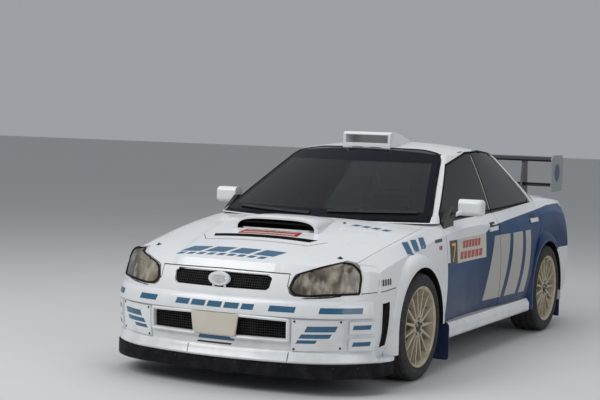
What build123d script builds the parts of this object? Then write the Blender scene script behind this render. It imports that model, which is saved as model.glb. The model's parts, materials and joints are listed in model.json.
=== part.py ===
"""A four-door rally saloon, built the way the real car is: a hollow body shell with bolted wings and bumpers,
hinged doors, bonnet and boot lid, glass, lamps, a roll cage, bare cabin, axles and four wheels.

Millimetres. +X is the car's left, +Y its rear and +Z up; the origin is on the ground below the middle of the car.
Left-hand pieces are modelled and mirrored about the YZ plane.
"""
from build123d import *
import os

# Driving dimensions
LENGTH = 4415
FRONT_OVERHANG = 920
WHEELBASE = 2540
HALF_WIDTH = 885
ROOF_HEIGHT = 1390
TYRE_RADIUS = 320
TYRE_WIDTH = 225
RIM_RADIUS = 242
ARCH_RADIUS = 352
FLARE_DEPTH = 82
ROOF_ROUNDING = 40
UNDERSIDE = 200
BODY_GAP = 6
SKIN = 4
INNER_SKIN = 22
DOOR_FLANGE = INNER_SKIN
DOOR_WALL = 66
PILLAR = 45
CABIN_HALF = 700

NOSE = -LENGTH / 2
TAIL = LENGTH / 2
FRONT_AXLE = NOSE + FRONT_OVERHANG
REAR_AXLE = FRONT_AXLE + WHEELBASE
AXLE_HEIGHT = TYRE_RADIUS
WIDE = 1100
HIGH = 1600

# Lower body sections, half of each: y, sill x, widest x and its z, shoulder crease x and z, belt x and z, crown z
BODY_SECTIONS = [
    (-2300, 760, 840, 420, 790, 560, 640, 610, 640),
    (-1950, 800, 862, 450, 822, 650, 705, 718, 765),
    (-1600, 820, 866, 480, 826, 720, 738, 780, 838),
    (-1290, 825, 866, 520, 822, 765, 758, 828, 888),
    (-900, 815, 850, 560, 818, 815, 768, 876, 925),
    (200, 812, 846, 560, 824, 850, 776, 920, 950),
    (1250, 815, 856, 560, 822, 872, 752, 958, 982),
    (1750, 790, 850, 560, 812, 866, 735, 952, 992),
    (2300, 740, 790, 560, 770, 840, 690, 925, 985),
]
# How far the nose and the tail stand back from the ends of the car at each height: z, nose, tail
PLAN_HEIGHTS = [(40, 35, 90), (250, 13, 27), (470, 5, 4), (620, 44, 8), (760, 118, 35), (1100, 330, 70)]
# Greenhouse outlines, half of each, x and y in order: screen centre, screen corner, pillar, side front, side middle,
# side rear, rear pillar, rear corner, rear centre
GREENHOUSE_LOW = [(0, -1057), (715, -862), (752, -825), (768, -770), (783, 200), (765, 1290), (735, 1450), (640, 1585), (0, 1691)]
GREENHOUSE_TOP = [(0, -117), (455, -15), (485, 10), (505, 60), (545, 350), (525, 640), (505, 690), (440, 720), (0, 762)]
GREENHOUSE_BULGE = [(0, -12), (6, -10), (10, -6), (12, -2), (13, 0), (12, 2), (8, 8), (5, 12), (0, 14)]
# How far each of those points moves for each millimetre that the outline is inset, the slope allowed for
GREENHOUSE_INSET = [(0, 1.9), (-0.4, 1.7), (-0.8, 1.2), (-1.05, 0.4), (-1.1, 0), (-1.05, -0.3), (-0.9, -1), (-0.6, -1.5), (0, -1.9)]
GREENHOUSE_Z = (900, 1150, 1400)


def outline_solid(plane, points, depth, radius, grow):
    """A closed outline on a plane, its corners rounded, grown sideways by a gap and extruded."""
    with BuildPart() as made:
        with BuildSketch(plane) as outline:
            with BuildLine():
                Polyline(*points, close=True)
            make_face()
            if radius:
                fillet(outline.vertices(), radius)
            if grow:
                offset(amount=grow, kind=Kind.INTERSECTION)
        extrude(amount=depth)
    return made.part


def side_solid(points, x0, x1, radius=0, grow=0):
    """A side-view outline of (y, z) points, extruded from x0 to x1."""
    return outline_solid(Plane.YZ.offset(x0), points, x1 - x0, radius, grow)


def front_solid(points, y0, y1, radius=0, grow=0):
    """A front-view outline of (x, z) points, extruded from y0 to y1."""
    return outline_solid(Plane.XZ.offset(-y1), points, y1 - y0, radius, grow)


def top_solid(points, z0, z1, radius=0, grow=0):
    """A plan-view outline of (x, y) points, extruded from z0 to z1."""
    return outline_solid(Plane.XY.offset(z0), points, z1 - z0, radius, grow)


def block(x0, x1, y0, y1, z0, z1):
    """A block between two corners."""
    return top_solid([(x0, y0), (x1, y0), (x1, y1), (x0, y1)], z0, z1)


def cross_cylinder(y, z, radius, x0, x1):
    """A cylinder that lies across the car."""
    with BuildPart() as made:
        with BuildSketch(Plane.YZ.offset(x0)):
            with Locations((y, z)):
                Circle(radius)
        extrude(amount=x1 - x0)
    return made.part


def rod(start, end, radius):
    """A straight round bar between two points."""
    line = Vector(*end) - Vector(*start)
    with BuildPart() as made:
        with BuildSketch(Plane(origin=start, z_dir=line.normalized())):
            Circle(radius)
        extrude(amount=line.length)
    return made.part


def fused(part, *others):
    """Several solids joined into one."""
    return part.fuse(*others)


def common(part, *others):
    """What a solid shares with each of the others in turn."""
    for other in others:
        part = part & other
    return part


def cut(part, *others):
    """A solid less the others."""
    return part.cut(*others)


def mirrored(part):
    """The right-hand copy of a left-hand solid."""
    return mirror(part, about=Plane.YZ)


def joined(part):
    """A left-hand solid and its mirror image, which meets it on the centre line, as one solid."""
    return part.fuse(mirrored(part))


def both_sides(part):
    """Left-hand solids and their mirror images, which don't touch them."""
    return Compound(children=[*part.solids(), *mirrored(part).solids()])


def lower_body(inset):
    """The left half of the lower body from nose to tail, with every face moved inwards by the inset."""
    with BuildPart() as made:
        for y, x_sill, x_wide, z_wide, x_crease, z_crease, x_belt, z_belt, z_crown in BODY_SECTIONS:
            sill = (x_sill - inset, UNDERSIDE + inset)
            wide = (x_wide - inset, z_wide)
            crease = (x_crease - inset, z_crease)
            belt = (x_belt - inset, z_belt - inset)
            crown = (0, z_crown - inset)
            with BuildSketch(Plane.XZ.offset(-y)):
                with BuildLine():
                    Polyline(crown, (0, UNDERSIDE + inset), sill)
                    ThreePointArc(sill, wide, crease)
                    Line(crease, belt)
                    TangentArc(crown, belt, tangent=(1, 0))
                make_face()
        loft()
    return made.part


def plan_section(z, nose_back, tail_back, inset):
    """The left half of the car's plan outline at one height."""
    nose = NOSE + nose_back + inset
    tail = TAIL - tail_back - inset
    side = HALF_WIDTH + 15 - inset
    nose_corner = (450, nose + 50)
    nose_end = (side, nose + 560)
    tail_corner = (530, tail - 55)
    tail_end = (side, tail - 660)
    with BuildSketch(Plane.XY.offset(z)) as section:
        with BuildLine():
            TangentArc((0, nose), nose_corner, tangent=(1, 0))
            ThreePointArc(nose_corner, (735 - inset / 2, nose + 200), nose_end)
            Line(nose_end, tail_end)
            ThreePointArc(tail_end, (765 - inset / 2, tail - 210), tail_corner)
            TangentArc((0, tail), tail_corner, tangent=(1, 0))
            Line((0, tail), (0, nose))
        make_face()
    return section.sketch


def plan(inset):
    """The left half of the solid that rounds the nose and the tail."""
    with BuildPart() as made:
        loft([plan_section(z, nose, tail, inset) for z, nose, tail in PLAN_HEIGHTS])
    return made.part


def greenhouse_section(z, points, inset):
    """The left half of the greenhouse's plan outline at one height."""
    at = [(x + dx * inset, y + dy * inset) for (x, y), (dx, dy) in zip(points, GREENHOUSE_INSET)]
    with BuildSketch(Plane.XY.offset(z)) as section:
        with BuildLine():
            TangentArc(at[0], at[1], tangent=(1, 0))
            ThreePointArc(at[1], at[2], at[3])
            ThreePointArc(at[3], at[4], at[5])
            ThreePointArc(at[5], at[6], at[7])
            TangentArc(at[8], at[7], tangent=(1, 0))
            Line(at[8], at[0])
        make_face()
    return section.sketch


def roof_form(inset):
    """The left half of a doubly curved solid whose top is the roof."""
    peak = 350
    fore_and_aft = 3600
    half = 800
    edge = ROOF_HEIGHT - 95 - inset
    axis = Axis((0, peak, ROOF_HEIGHT - fore_and_aft), (1, 0, 0))
    with BuildPart() as made:
        with BuildSketch(Plane.XZ.offset(-peak)):
            with BuildLine():
                TangentArc((0, ROOF_HEIGHT - inset), (half, edge), tangent=(1, 0))
                Polyline((half, edge), (half, 600), (0, 600), (0, ROOF_HEIGHT - inset))
            make_face()
        revolve(axis=axis, revolution_arc=60)
    return made.part.rotate(axis, -30)


def greenhouse(inset, rounding=0):
    """The left half of the cabin above the belt, with every face moved inwards by the inset."""
    middle = [
        ((a[0] + b[0]) / 2 + c[0], (a[1] + b[1]) / 2 + c[1])
        for a, b, c in zip(GREENHOUSE_LOW, GREENHOUSE_TOP, GREENHOUSE_BULGE)
    ]
    outlines = (GREENHOUSE_LOW, middle, GREENHOUSE_TOP)
    with BuildPart() as made:
        loft([greenhouse_section(z, points, inset) for z, points in zip(GREENHOUSE_Z, outlines)])
        add(roof_form(inset), mode=Mode.INTERSECT)
        if rounding:
            rim = made.faces().sort_by(Axis.Z)[-1].edges().sort_by(lambda e: e.center().X)[1:]
            fillet(rim, rounding)
    return made.part


def arch_flare(axle):
    """The swelling round a wheel arch on the left side, turned about the axle."""
    with BuildPart() as made:
        with BuildSketch(Plane(origin=(0, axle, AXLE_HEIGHT), x_dir=(1, 0, 0), z_dir=(0, 0, 1))):
            with BuildLine():
                crest = (HALF_WIDTH, ARCH_RADIUS + 20)
                outer_edge = (822, ARCH_RADIUS + FLARE_DEPTH)
                Polyline((822, ARCH_RADIUS - 1), (HALF_WIDTH - 2, ARCH_RADIUS - 1), crest)
                ThreePointArc(crest, (873, ARCH_RADIUS + 50), outer_edge)
                Line(outer_edge, (822, ARCH_RADIUS - 1))
            make_face()
        revolve(axis=Axis((0, axle, AXLE_HEIGHT), (1, 0, 0)), revolution_arc=180)
        below = AXLE_HEIGHT - UNDERSIDE
        for side in (-1, 1):
            foot = ARCH_RADIUS - 1
            extrude(
                made.faces().filter_by(Axis.Z).sort_by(Axis.Y)[0 if side < 0 else -1], amount=below
            )
    return made.part


# Outer form of the lower body, left half, and the layer of skin that its panels are split from
outer = common(lower_body(0), plan(0))
for axle in (FRONT_AXLE, REAR_AXLE):
    arch = cross_cylinder(axle, AXLE_HEIGHT, ARCH_RADIUS, 0, WIDE)
    outer = cut(fused(outer, arch_flare(axle)), arch)
under_skin = common(lower_body(INNER_SKIN), plan(INNER_SKIN))
skin_layer = cut(outer, under_skin)

# Bonnet, boot lid, bumper and lamp outlines: plan views of (x, y) and front views of (x, z), all left halves that
# run a little past the centre line
PAST_CENTRE = -80
BONNET_PLAN = [
    (PAST_CENTRE, -2200), (405, -2170), (560, -2045), (690, -1935), (712, -1880), (728, -1290), (722, -930), (690, -890),
    (560, -956), (380, -1020), (200, -1060), (PAST_CENTRE, -1073),
]
LID_PLAN = [(PAST_CENTRE, 1600), (560, 1585), (610, 1640), (600, 2080), (560, 2260), (PAST_CENTRE, 2260)]
LID_SILL = 650
BUMPER_SEAM = 576
BUMPER_FRONT = [
    (PAST_CENTRE, 60), (WIDE, 60), (WIDE, BUMPER_SEAM), (800, BUMPER_SEAM), (632, 545), (509, 536), (430, 560), (405, 600),
    (405, 664), (PAST_CENTRE, 672),
]
LAMP_FRONT = [
    (412, 566), (470, 540), (632, 551), (800, 584), (812, 640), (800, 716), (760, 742), (700, 752), (560, 706),
    (440, 662),
]
TAIL_LAMP = [(560, 650), (900, 660), (900, 800), (640, 820), (585, 790)]
REAR_SEAM = 600
FRONT_SEAM_Y = -1480
REAR_SEAM_Y = 1440
bonnet_zone = top_solid(BONNET_PLAN, 560, HIGH)
bonnet_zone_wide = top_solid(BONNET_PLAN, 560, HIGH, grow=BODY_GAP)
front_bumper_zone = front_solid(BUMPER_FRONT, NOSE - 100, FRONT_SEAM_Y)
front_bumper_gap = front_solid(BUMPER_FRONT, NOSE - 100, FRONT_SEAM_Y, grow=BODY_GAP)
lamp_zone = front_solid(LAMP_FRONT, NOSE - 100, -1880, radius=26)
lamp_gap = front_solid(LAMP_FRONT, NOSE - 100, -1867, radius=26, grow=BODY_GAP)
rear_bumper_zone = block(0, WIDE, REAR_SEAM_Y, TAIL + 100, 60, REAR_SEAM)
lid_zone = top_solid(LID_PLAN, LID_SILL, HIGH)
lid_zone_wide = top_solid(LID_PLAN, LID_SILL - BODY_GAP, HIGH, grow=BODY_GAP)
tail_lamp_zone = front_solid(TAIL_LAMP, 2000, TAIL + 100, radius=6)
tail_lamp_gap = fused(
    front_solid(TAIL_LAMP, 1994, TAIL + 100, radius=6, grow=BODY_GAP), block(553, WIDE, 1994, TAIL + 100, 600, 690),
)

# Doors: side-view outlines, hinge places and the window opening that both side glasses fill
BELT_FRONT = 893
FRONT_DOOR = [(-757, 290), (239, 290), (239, 1000), (-757, 1000)]
REAR_DOOR = [(248, 290), (820, 290), (850, 420), (925, 560), (1060, 690), (1180, 790), (1192, 870), (1192, 1000), (248, 1000)]
WINDOW = [
    (-757, 880), (-700, 952), (-205, 1252), (190, 1330), (500, 1337), (700, 1318), (950, 1150), (1170, 985), (1192, 940),
    (1192, 880),
]
GLASS_SPLIT_LOW = 243
GLASS_SPLIT_HIGH = 338
DOOR_GAP = 8
FRAME_GAP = 14
HINGE_INBOARD = 822
HINGE_AHEAD = 35
GLASS_DEPTH = 8
GLASS_THICKNESS = 5
side_outer = common(lower_body(0), block(0, WIDE, -900, 1300, 0, HIGH))
side_skin = common(lower_body(SKIN), block(0, WIDE, -900, 1300, 0, HIGH))
side_flange = common(lower_body(DOOR_FLANGE), block(0, WIDE, -900, 1300, 0, HIGH))
side_wall = common(lower_body(DOOR_WALL), block(0, WIDE, -900, 1300, 0, HIGH))
DOOR_STEP = 48


def door_outer(points, grow=0):
    """The full outline of a door on the left side, from the skin inwards."""
    return side_solid(points, 735, WIDE, grow=grow)


def door_inner(points, grow=0, inner_x=CABIN_HALF + 6):
    """The part of a door that passes through the frame, set in from the door's edges."""
    inner = side_solid(points, inner_x, WIDE, grow=grow - DOOR_STEP)
    return common(inner, block(0, WIDE, -WIDE, WIDE * 2, 0, 860 + grow))


def door(points):
    """A left-hand door below the glass: the outer skin and the frame behind it."""
    skin = cut(common(side_outer, door_outer(points)), side_skin)
    frame = cut(common(side_skin, door_inner(points)), side_wall)
    return cut(fused(skin, frame), greenhouse(GLASS_DEPTH + GLASS_THICKNESS + 2), side_glass)


# Side glass: one surface behind the greenhouse skin, split between the front and rear doors
side_half = block(300, WIDE, -900, 1400, 880, HIGH)
glass_outer = common(greenhouse(GLASS_DEPTH), side_half)
glass_inner = common(greenhouse(GLASS_DEPTH + GLASS_THICKNESS), side_half)
side_glass = common(cut(glass_outer, glass_inner), side_solid(WINDOW, 300, WIDE, radius=12))
FRONT_GLASS = [(-900, 800), (GLASS_SPLIT_LOW - 20, 800), (GLASS_SPLIT_LOW - 8, 940), (GLASS_SPLIT_HIGH - 8, HIGH), (-900, HIGH)]
REAR_GLASS = [(GLASS_SPLIT_LOW - 5, 800), (GLASS_SPLIT_LOW + 7, 940), (GLASS_SPLIT_HIGH + 7, HIGH), (1400, HIGH), (1400, 800)]
GLASS_FOOT = 12
glass_above = block(0, WIDE, -900, 1400, BELT_FRONT + GLASS_FOOT, HIGH)
front_glass = common(side_glass, side_solid(FRONT_GLASS, 300, WIDE), glass_above)
swung_window = side_solid([(y - 8, z - 6) for y, z in WINDOW], 300, WIDE, radius=12)
rear_glass = common(side_glass, side_solid(REAR_GLASS, 300, WIDE), glass_above, swung_window)

front_door = door(FRONT_DOOR)
rear_door = door(REAR_DOOR)

# Windscreen and rear window: front-view outlines on the greenhouse's front and rear
SCREEN = [(PAST_CENTRE, 905), (735, 905), (726, 930), (527, 1318), (380, 1345), (PAST_CENTRE, 1352)]
BACKLIGHT = [(PAST_CENTRE, 962), (560, 962), (600, 985), (470, 1290), (400, 1318), (PAST_CENTRE, 1330)]
SCREEN_GLASS = 6
SCREEN_LEDGE = 32
greenhouse_smooth = greenhouse(0)
screen_back = greenhouse(SCREEN_GLASS)
screen_layer = cut(greenhouse_smooth, screen_back, common(lower_body(0), block(0, WIDE, -1200, 1800, 700, HIGH)))
windscreen = common(screen_layer, front_solid(SCREEN, -1200, -60))
rear_window = common(screen_layer, front_solid(BACKLIGHT, 700, 1700))

# Panels of the body, left halves where they cross the centre line
WHEELHOUSE_RADIUS = 398
FRONT_WHEELHOUSE = 492
REAR_WHEELHOUSE = 585
WHEELHOUSE_WALL = 10
CABIN_FRONT = -757
CABIN_REAR = 1130
BOOT_FLOOR = 430
SKIRT = [(780, 190), (862, 190), (872, 205), (872, 250), (856, 284), (780, 284)]
SKIRT_ENDS = (-881, 868)
front_of_doors = FRONT_DOOR[0][0] - DOOR_GAP
wheelhouse_front = cross_cylinder(FRONT_AXLE, AXLE_HEIGHT, WHEELHOUSE_RADIUS, FRONT_WHEELHOUSE, HALF_WIDTH - 45)
wheelhouse_rear = cross_cylinder(REAR_AXLE, AXLE_HEIGHT, WHEELHOUSE_RADIUS, REAR_WHEELHOUSE, HALF_WIDTH - 45)
skirt = cut(
    front_solid(SKIRT, SKIRT_ENDS[0], SKIRT_ENDS[1]),
    cross_cylinder(FRONT_AXLE, AXLE_HEIGHT, WHEELHOUSE_RADIUS + 4, 0, WIDE),
    cross_cylinder(REAR_AXLE, AXLE_HEIGHT, WHEELHOUSE_RADIUS + 4, 0, WIDE),
)
front_layer = common(skin_layer, block(0, WIDE, NOSE - 50, -640, 0, HIGH))
rear_layer = cut(
    common(skin_layer, block(0, WIDE, 780, TAIL + 50, 0, HIGH)), block(-1, REAR_WHEELHOUSE, 700, TAIL - 90, 0, 260)
)
front_wing = cut(
    common(front_layer, block(690, WIDE, -2060, front_of_doors, 300, HIGH)),
    bonnet_zone_wide, front_bumper_zone, lamp_zone, wheelhouse_front,
    side_solid([(-900, 1000), (-700, 1000), (-700, 872), (-775, 872)], 0, WIDE),
)
cowl_half = cut(
    common(front_layer, block(0, WIDE, -1130, front_of_doors, 700, HIGH)),
    bonnet_zone_wide, front_wing, block(740, WIDE, -2000, 0, 0, 871),
)
quarter_half = cut(
    common(rear_layer, block(0, WIDE, 800, TAIL + 50, 0, HIGH)),
    rear_bumper_zone, lid_zone_wide, tail_lamp_zone, wheelhouse_rear,
    side_solid(REAR_DOOR, 690, WIDE, grow=DOOR_GAP), block(0, 735, 780, CABIN_REAR, 0, HIGH), skirt,
)

# Roof and pillars: the greenhouse shell with its side, front and rear openings
window_recess = cut(side_solid(WINDOW, 300, WIDE, radius=12, grow=BODY_GAP), greenhouse(DOOR_FLANGE))
window_through = cut(
    fused(
        side_solid(WINDOW, 300, WIDE, radius=12, grow=-26),
        side_solid([(-705, 890), (-690, 950), (1150, 950), (1150, 890)], 300, WIDE),
    ),
    side_solid([(195, 250), (290, 250), (300, 940), (385, HIGH), (295, HIGH), (200, 940)], 300, WIDE),
)
screen_recess = cut(fused(front_solid(SCREEN, -1200, -60), front_solid(BACKLIGHT, 700, 1700)), greenhouse(SCREEN_GLASS))
screen_through = fused(
    front_solid(SCREEN, -1200, -60, grow=-SCREEN_LEDGE), front_solid(BACKLIGHT, 700, 1700, grow=-SCREEN_LEDGE)
)
below_roof = cut(lower_body(0), block(0, WIDE, front_of_doors, CABIN_REAR, 0, HIGH))
greenhouse_shell = cut(greenhouse(0, ROOF_ROUNDING), greenhouse(PILLAR), below_roof, side_flange)
door_corner = block(715, WIDE, CABIN_REAR, 1199, 880, 966)
roof_half = cut(greenhouse_shell, window_recess, window_through, screen_recess, screen_through, door_corner)

# Side frames: sill, posts and door openings on each side
frame_ring = cut(
    side_solid([(-800, 200), (1230, 200), (1230, 905), (-800, 872)], CABIN_HALF, WIDE),
    door_inner(FRONT_DOOR, FRAME_GAP, CABIN_HALF - 1), door_inner(REAR_DOOR, FRAME_GAP, CABIN_HALF - 1),
    cross_cylinder(FRONT_AXLE, AXLE_HEIGHT, WHEELHOUSE_RADIUS, 0, WIDE),
    cross_cylinder(REAR_AXLE, AXLE_HEIGHT, WHEELHOUSE_RADIUS, 0, WIDE),
    block(735, WIDE, 900, 1194, 896, HIGH),
)
frame_half = cut(common(side_flange, frame_ring), skirt)

# Floor pan: floor, firewall, engine bay, wheelhouses, rear bulkhead and boot, all flat sheets and round housings
SHEET = 12
bay_half = FRONT_WHEELHOUSE - SHEET
boot_half = REAR_WHEELHOUSE - SHEET
pan_half = fused(
    block(0, CABIN_HALF, CABIN_FRONT, CABIN_REAR, 200, 236),
    block(0, CABIN_HALF, CABIN_FRONT - 30, CABIN_FRONT, 200, 880),
    block(0, bay_half, -2010, CABIN_FRONT - 30, 200, 236),
    block(bay_half, bay_half + SHEET, -2060, CABIN_FRONT - 30, 200, 860),
    block(0, bay_half + SHEET, -2090, -2010, 200, 640),
    block(0, CABIN_HALF, CABIN_REAR, CABIN_REAR + 30, 200, 940),
    block(0, boot_half, CABIN_REAR + 30, 2110, BOOT_FLOOR - 24, BOOT_FLOOR),
    block(boot_half, boot_half + SHEET, CABIN_REAR + 30, 2110, 300, 960),
    block(0, 700, 2110, 2150, 300, LID_SILL - 10),
    cross_cylinder(FRONT_AXLE, AXLE_HEIGHT, WHEELHOUSE_RADIUS + SHEET, FRONT_WHEELHOUSE, HALF_WIDTH - 60),
    cross_cylinder(REAR_AXLE, AXLE_HEIGHT, WHEELHOUSE_RADIUS + SHEET, REAR_WHEELHOUSE, HALF_WIDTH - 60),
)
tunnel = block(0, 90, CABIN_FRONT, CABIN_REAR, 200, 330)
pan_half = cut(
    fused(pan_half, tunnel), wheelhouse_front, wheelhouse_rear,
    block(FRONT_WHEELHOUSE - 1, WIDE, -WIDE * 2, front_of_doors - 60, 0, AXLE_HEIGHT),
    block(REAR_WHEELHOUSE - 1, WIDE, CABIN_REAR - 220, WIDE * 2, 0, AXLE_HEIGHT),
    block(-1, 60, CABIN_FRONT - 80, CABIN_REAR + 60, 150, 300),
    block(CABIN_HALF, WIDE, -800, 1230, 0, HIGH),
)
PAN_INSET = INNER_SKIN + BODY_GAP + 2
pan_half = common(pan_half, lower_body(PAN_INSET), plan(PAN_INSET))

# Mud flaps hang behind the wheels
FLAP = 6
FLAP_BOTTOM = 70
flap_front_y = SKIRT_ENDS[0] - FLAP
flap_rear_y = REAR_AXLE + ARCH_RADIUS + 14
front_flap = block(650, 872, flap_front_y, flap_front_y + FLAP, FLAP_BOTTOM, 250)
rear_flap = block(650, 872, flap_rear_y, flap_rear_y + FLAP, FLAP_BOTTOM, 200)

# Front bumper: the outer skin below the lamps, a flange under it and the openings
GRILLE = [(PAST_CENTRE, 656), (285, 653), (313, 640), (306, 585), (286, 571), (PAST_CENTRE, 570)]
INTAKE = [(112, 313), (425, 313), (425, 409), (180, 415), (128, 415)]
PLATE_HOLE = 4
PLATE_HOLE_X = 105
PLATE_HOLE_Z = 360
LIP_BOTTOM = 178
SPLITTER_BOTTOM = 100
SPLITTER_REAR = -1700
with BuildPart() as lip_form:
    with BuildSketch(Plane.XY.offset(LIP_BOTTOM)):
        add(plan_section(0, 1, 60, 0))
    extrude(amount=UNDERSIDE - LIP_BOTTOM)
lip = common(lip_form.part, block(0, HALF_WIDTH - 2, NOSE - 10, SPLITTER_REAR, 0, HIGH))
grille_hole = front_solid(GRILLE, NOSE - 100, -2040, radius=10)
intake_hole = front_solid(INTAKE, NOSE - 100, -2040, radius=8)
bumper_half = cut(
    fused(cut(common(front_layer, front_bumper_zone), lamp_zone), lip), grille_hole, intake_hole, wheelhouse_front
)
with BuildPart() as plate_hole:
    with BuildSketch(Plane.XZ.offset(2100)):
        with Locations((PLATE_HOLE_X, PLATE_HOLE_Z)):
            Circle(PLATE_HOLE)
    extrude(amount=200)
bumper_half = cut(bumper_half, plate_hole.part)

# Splitter: a flat blade under the nose with a floor behind it
with BuildPart() as splitter_half:
    with BuildSketch(Plane.XY.offset(SPLITTER_BOTTOM)):
        with BuildLine():
            TangentArc((0, NOSE), (450, NOSE + 46), tangent=(1, 0))
            ThreePointArc((450, NOSE + 46), (770, NOSE + 205), (HALF_WIDTH, NOSE + 500))
            Polyline((HALF_WIDTH, NOSE + 500), (470, SPLITTER_REAR), (440, -1600), (0, -1600), (0, NOSE))
        make_face()
    extrude(amount=LIP_BOTTOM - SPLITTER_BOTTOM)
    add(block(-1, 640, NOSE + 120, -1720, SPLITTER_BOTTOM + 14, LIP_BOTTOM + 1), mode=Mode.SUBTRACT)

# Grille and intake meshes stand in their openings
mesh_half = common(cut(plan(16), plan(22)), fused(grille_hole, intake_hole))
lamp_half = common(front_layer, lamp_zone)
tail_lamp_half = common(rear_layer, tail_lamp_zone)
rear_bumper_half = cut(common(rear_layer, rear_bumper_zone), wheelhouse_rear)

# Bonnet with its intake scoop and outlet slot
SCOOP_LIP_Y = -1500
SCOOP_HALF = 250
SCOOP_HEIGHT = 902
scoop = common(
    side_solid(
        [(SCOOP_LIP_Y, 820), (SCOOP_LIP_Y, 892), (SCOOP_LIP_Y + 12, SCOOP_HEIGHT), (-1300, 916), (-1080, 914),
         (-1080, 850)],
        0, WIDE,
    ),
    top_solid(
        [(0, SCOOP_LIP_Y - 12), (SCOOP_HALF - 30, SCOOP_LIP_Y), (SCOOP_HALF, SCOOP_LIP_Y + 40), (190, -1130),
         (0, -1100)],
        700, HIGH,
    ),
)
scoop_mouth = common(
    side_solid(
        [(SCOOP_LIP_Y - 50, 862), (SCOOP_LIP_Y - 50, 892), (SCOOP_LIP_Y + 170, 890), (SCOOP_LIP_Y + 170, 868)],
        -1, WIDE,
    ),
    block(-1, SCOOP_HALF - 26, -1600, -1300, 0, HIGH),
)
slot = block(-1, 345, -1765, -1742, 700, HIGH)
bonnet_half = cut(
    fused(common(front_layer, bonnet_zone), cut(scoop, under_skin)), scoop_mouth, slot, front_bumper_gap, lamp_gap
)
lid_half = cut(common(rear_layer, lid_zone), tail_lamp_gap)

# Rear wing on its stays
WING_HALF = 690
END_PLATE = 8
BLADE = [
    (1890, 1262), (1930, 1284), (2010, 1288), (2100, 1274), (2165, 1250), (2165, 1243), (2090, 1254), (1990, 1256),
    (1910, 1248),
]
LOW_BLADE = [(1930, 1062), (1960, 1076), (2060, 1070), (2130, 1052), (2130, 1046), (2040, 1052), (1940, 1050)]
PLATE_SIDE = [(1880, 1010), (2150, 1010), (2180, 1060), (2180, 1270), (2150, 1300), (1900, 1300), (1870, 1270)]
wing_half = fused(
    side_solid(BLADE, 0, WING_HALF),
    side_solid(LOW_BLADE, 0, WING_HALF),
    side_solid(PLATE_SIDE, WING_HALF, WING_HALF + END_PLATE, radius=18),
    cut(side_solid([(1900, 960), (2060, 960), (2040, 1258), (1940, 1258)], 430, 446), outer),
)

# Roof vent
VENT_Y = -185
VENT_HALF = 175
vent = common(
    side_solid(
        [(VENT_Y, 1300), (VENT_Y, 1440), (VENT_Y + 25, 1453), (VENT_Y + 110, 1455), (300, 1396), (300, 1300)],
        0, WIDE,
    ),
    top_solid([(0, VENT_Y - 20), (VENT_HALF, VENT_Y), (VENT_HALF - 5, 60), (120, 300), (0, 310)], 1200, HIGH),
)
vent_half = cut(vent, greenhouse(0), block(-1, VENT_HALF - 18, VENT_Y - 60, VENT_Y + 150, 1380, 1434))

# Wipers lie just over the glass
wiper_layer = cut(greenhouse(-11), greenhouse(-1))
left_wiper = common(wiper_layer, front_solid([(90, 950), (640, 960), (640, 970), (90, 962)], -1200, -300))
right_wiper = mirrored(common(wiper_layer, front_solid([(20, 932), (600, 946), (600, 956), (20, 944)], -1200, -300)))


def mirror_unit():
    """A left-hand door mirror on its sail panel."""
    with BuildPart() as made:
        with BuildSketch(Plane.YZ.offset(812)):
            with Locations((-498, 996)):
                RectangleRounded(100, 104, 30)
        extrude(amount=154)
        fillet(made.faces().sort_by(Axis.X)[-1].edges(), 22)
    housing = fused(made.part, rod((752, -640, 915), (840, -520, 975), 14))
    sail = side_solid([(-735, 850), (-560, 850), (-560, 1000), (-600, 1000), (-735, 912)], 762, 790)
    pillar_gap = greenhouse(-BODY_GAP)
    return cut(fused(housing, sail), pillar_gap, Pos(0, 0, -8) * pillar_gap, lower_body(0))


mirror_form = mirror_unit()


def tyre(x, y):
    """A tyre turned about the axle, its tread centred on x."""
    with BuildPart() as made:
        with BuildSketch(Plane.XZ.offset(-y)):
            with BuildLine():
                half = TYRE_WIDTH / 2
                bead = AXLE_HEIGHT + RIM_RADIUS - 11
                tread = AXLE_HEIGHT + TYRE_RADIUS
                low = [(x + s * (half - 17), bead) for s in (-1, 1)]
                lip = [(x + s * (half - 16), bead + 13) for s in (-1, 1)]
                bulge = [(x + s * half, bead + 42) for s in (-1, 1)]
                shoulder = [(x + s * (half - 15), tread - 8) for s in (-1, 1)]
                Line(low[0], low[1])
                Line(low[1], lip[1])
                ThreePointArc(lip[1], bulge[1], shoulder[1])
                ThreePointArc(shoulder[1], (x, tread), shoulder[0])
                ThreePointArc(shoulder[0], bulge[0], lip[0])
                Line(lip[0], low[0])
            make_face()
        revolve(axis=Axis((0, y, AXLE_HEIGHT), (1, 0, 0)))
    return made.part


SPOKES = 15
HUB_RADIUS = 62
DISC_RADIUS = 165
DISC_THICKNESS = 26


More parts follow.
